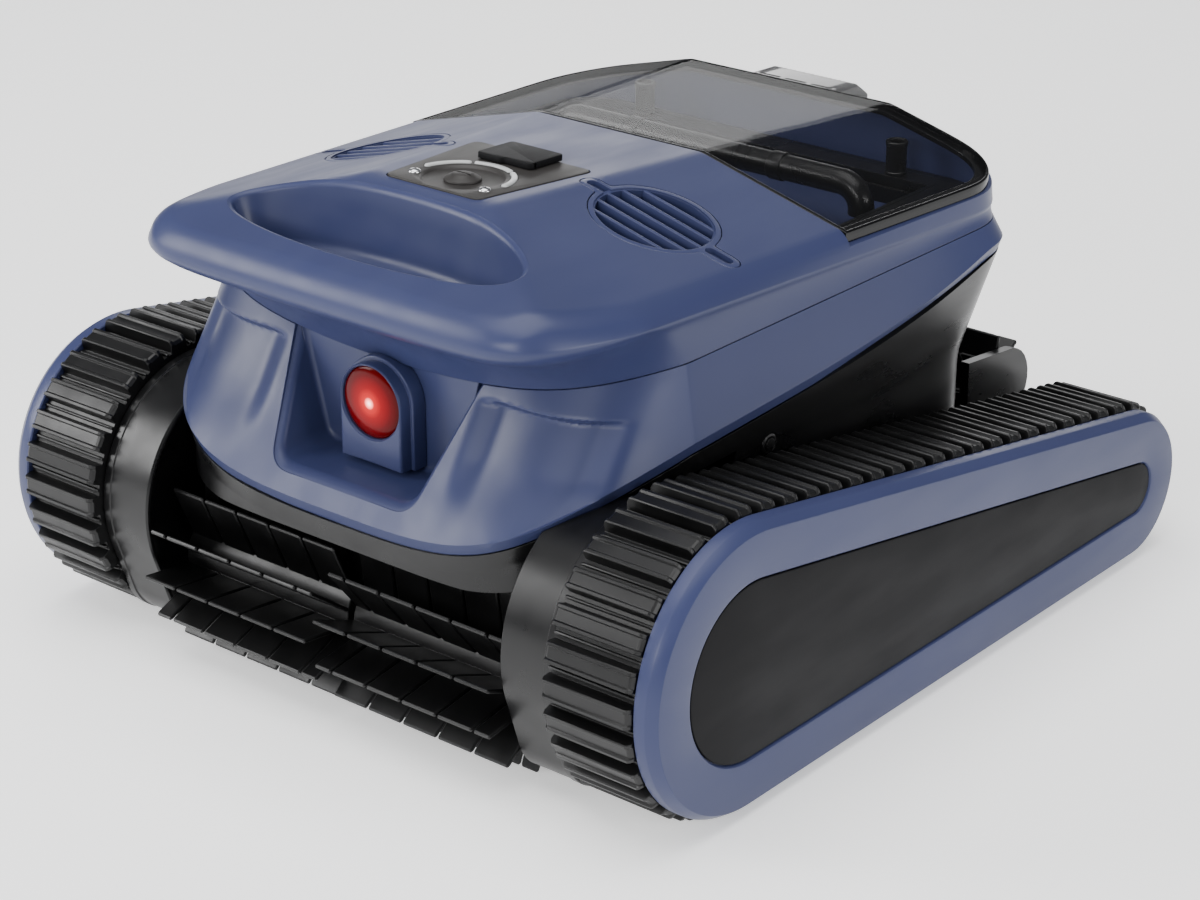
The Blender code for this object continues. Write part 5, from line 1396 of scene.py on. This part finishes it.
class CLEANER_OT_stage(bpy.types.Operator):
    """Adds the pale floor, the soft lights and the camera"""
    bl_idname = "cleaner.stage"
    bl_label = "Floor, lights and camera"

    def execute(self, context):
        camera = bpy.data.cameras.new("camera")
        camera.lens = CAMERA_LENS
        camera.sensor_width = CAMERA_SENSOR
        holder = bpy.data.objects.new("camera", camera)
        context.scene.collection.objects.link(holder)
        holder.location = CAMERA_SPOT
        holder.rotation_euler = Vector(CAMERA_AIM - CAMERA_SPOT).to_track_quat("-Z", "Y").to_euler()
        context.scene.camera = holder

        r = FLOOR_REACH
        floor = raw("floor", grid(np.array([[(-r, -r, 0), (r, -r, 0)], [(-r, r, 0), (r, r, 0)]], float),
                                  around=False, caps=(False, False)))
        made, tree, surface = material("pale floor")
        surface.inputs["Base Color"].default_value = (0.90, 0.90, 0.90, 1.0)
        surface.inputs["Roughness"].default_value = 0.60
        surface.inputs["Emission Color"].default_value = (1.0, 1.0, 1.0, 1.0)
        surface.inputs["Emission Strength"].default_value = FLOOR_GLOW
        floor.data.materials.append(made)

        for name, place, target, size, power in LIGHTS:
            lamp = bpy.data.lights.new(name, "AREA")
            lamp.shape = "RECTANGLE"
            lamp.size, lamp.size_y = size
            lamp.energy = power
            light = bpy.data.objects.new(name, lamp)
            context.scene.collection.objects.link(light)
            light.location = place
            light.rotation_euler = (Vector(target) - Vector(place)).to_track_quat("-Z", "Y").to_euler()

        world = bpy.data.worlds.new("room")
        world.use_nodes = True
        sky = world.node_tree.nodes["Background"].inputs
        sky["Color"].default_value = SKY_COLOUR
        sky["Strength"].default_value = SKY_STRENGTH
        context.scene.world = world
        return {"FINISHED"}


STEPS = (CLEANER_OT_materials, CLEANER_OT_deck, CLEANER_OT_outlets, CLEANER_OT_panel, CLEANER_OT_nose,
         CLEANER_OT_lamp, CLEANER_OT_tracks, CLEANER_OT_covers, CLEANER_OT_chassis, CLEANER_OT_brushes,
         CLEANER_OT_lid, CLEANER_OT_basket, CLEANER_OT_stage)


class CLEANER_PT_panel(bpy.types.Panel):
    """Lists the pieces, their sizes and their colours"""
    bl_idname = "CLEANER_PT_panel"
    bl_label = "Pool Cleaner"
    bl_space_type = "VIEW_3D"
    bl_region_type = "UI"
    bl_category = "Pool Cleaner"

    def draw(self, context):
        layout = self.layout
        for group in (context.scene.cleaner_sizes, context.scene.cleaner_colours):
            box = layout.box()
            for name in group.__annotations__:
                box.prop(group, name)
        for step in STEPS:
            layout.operator(step.bl_idname)


CLASSES = (CleanerSizes, CleanerColours, *STEPS, CLEANER_PT_panel)


def register():
    for kind in CLASSES:
        bpy.utils.register_class(kind)
    bpy.types.Scene.cleaner_sizes = bpy.props.PointerProperty(type=CleanerSizes)
    bpy.types.Scene.cleaner_colours = bpy.props.PointerProperty(type=CleanerColours)


def unregister():
    del bpy.types.Scene.cleaner_colours
    del bpy.types.Scene.cleaner_sizes
    for kind in reversed(CLASSES):
        bpy.utils.unregister_class(kind)


def main():
    register()
    for step in STEPS:
        group, name = step.bl_idname.split(".")
        getattr(getattr(bpy.ops, group), name)()
    bpy.context.view_layer.update()


if __name__ == "__main__":
    main()
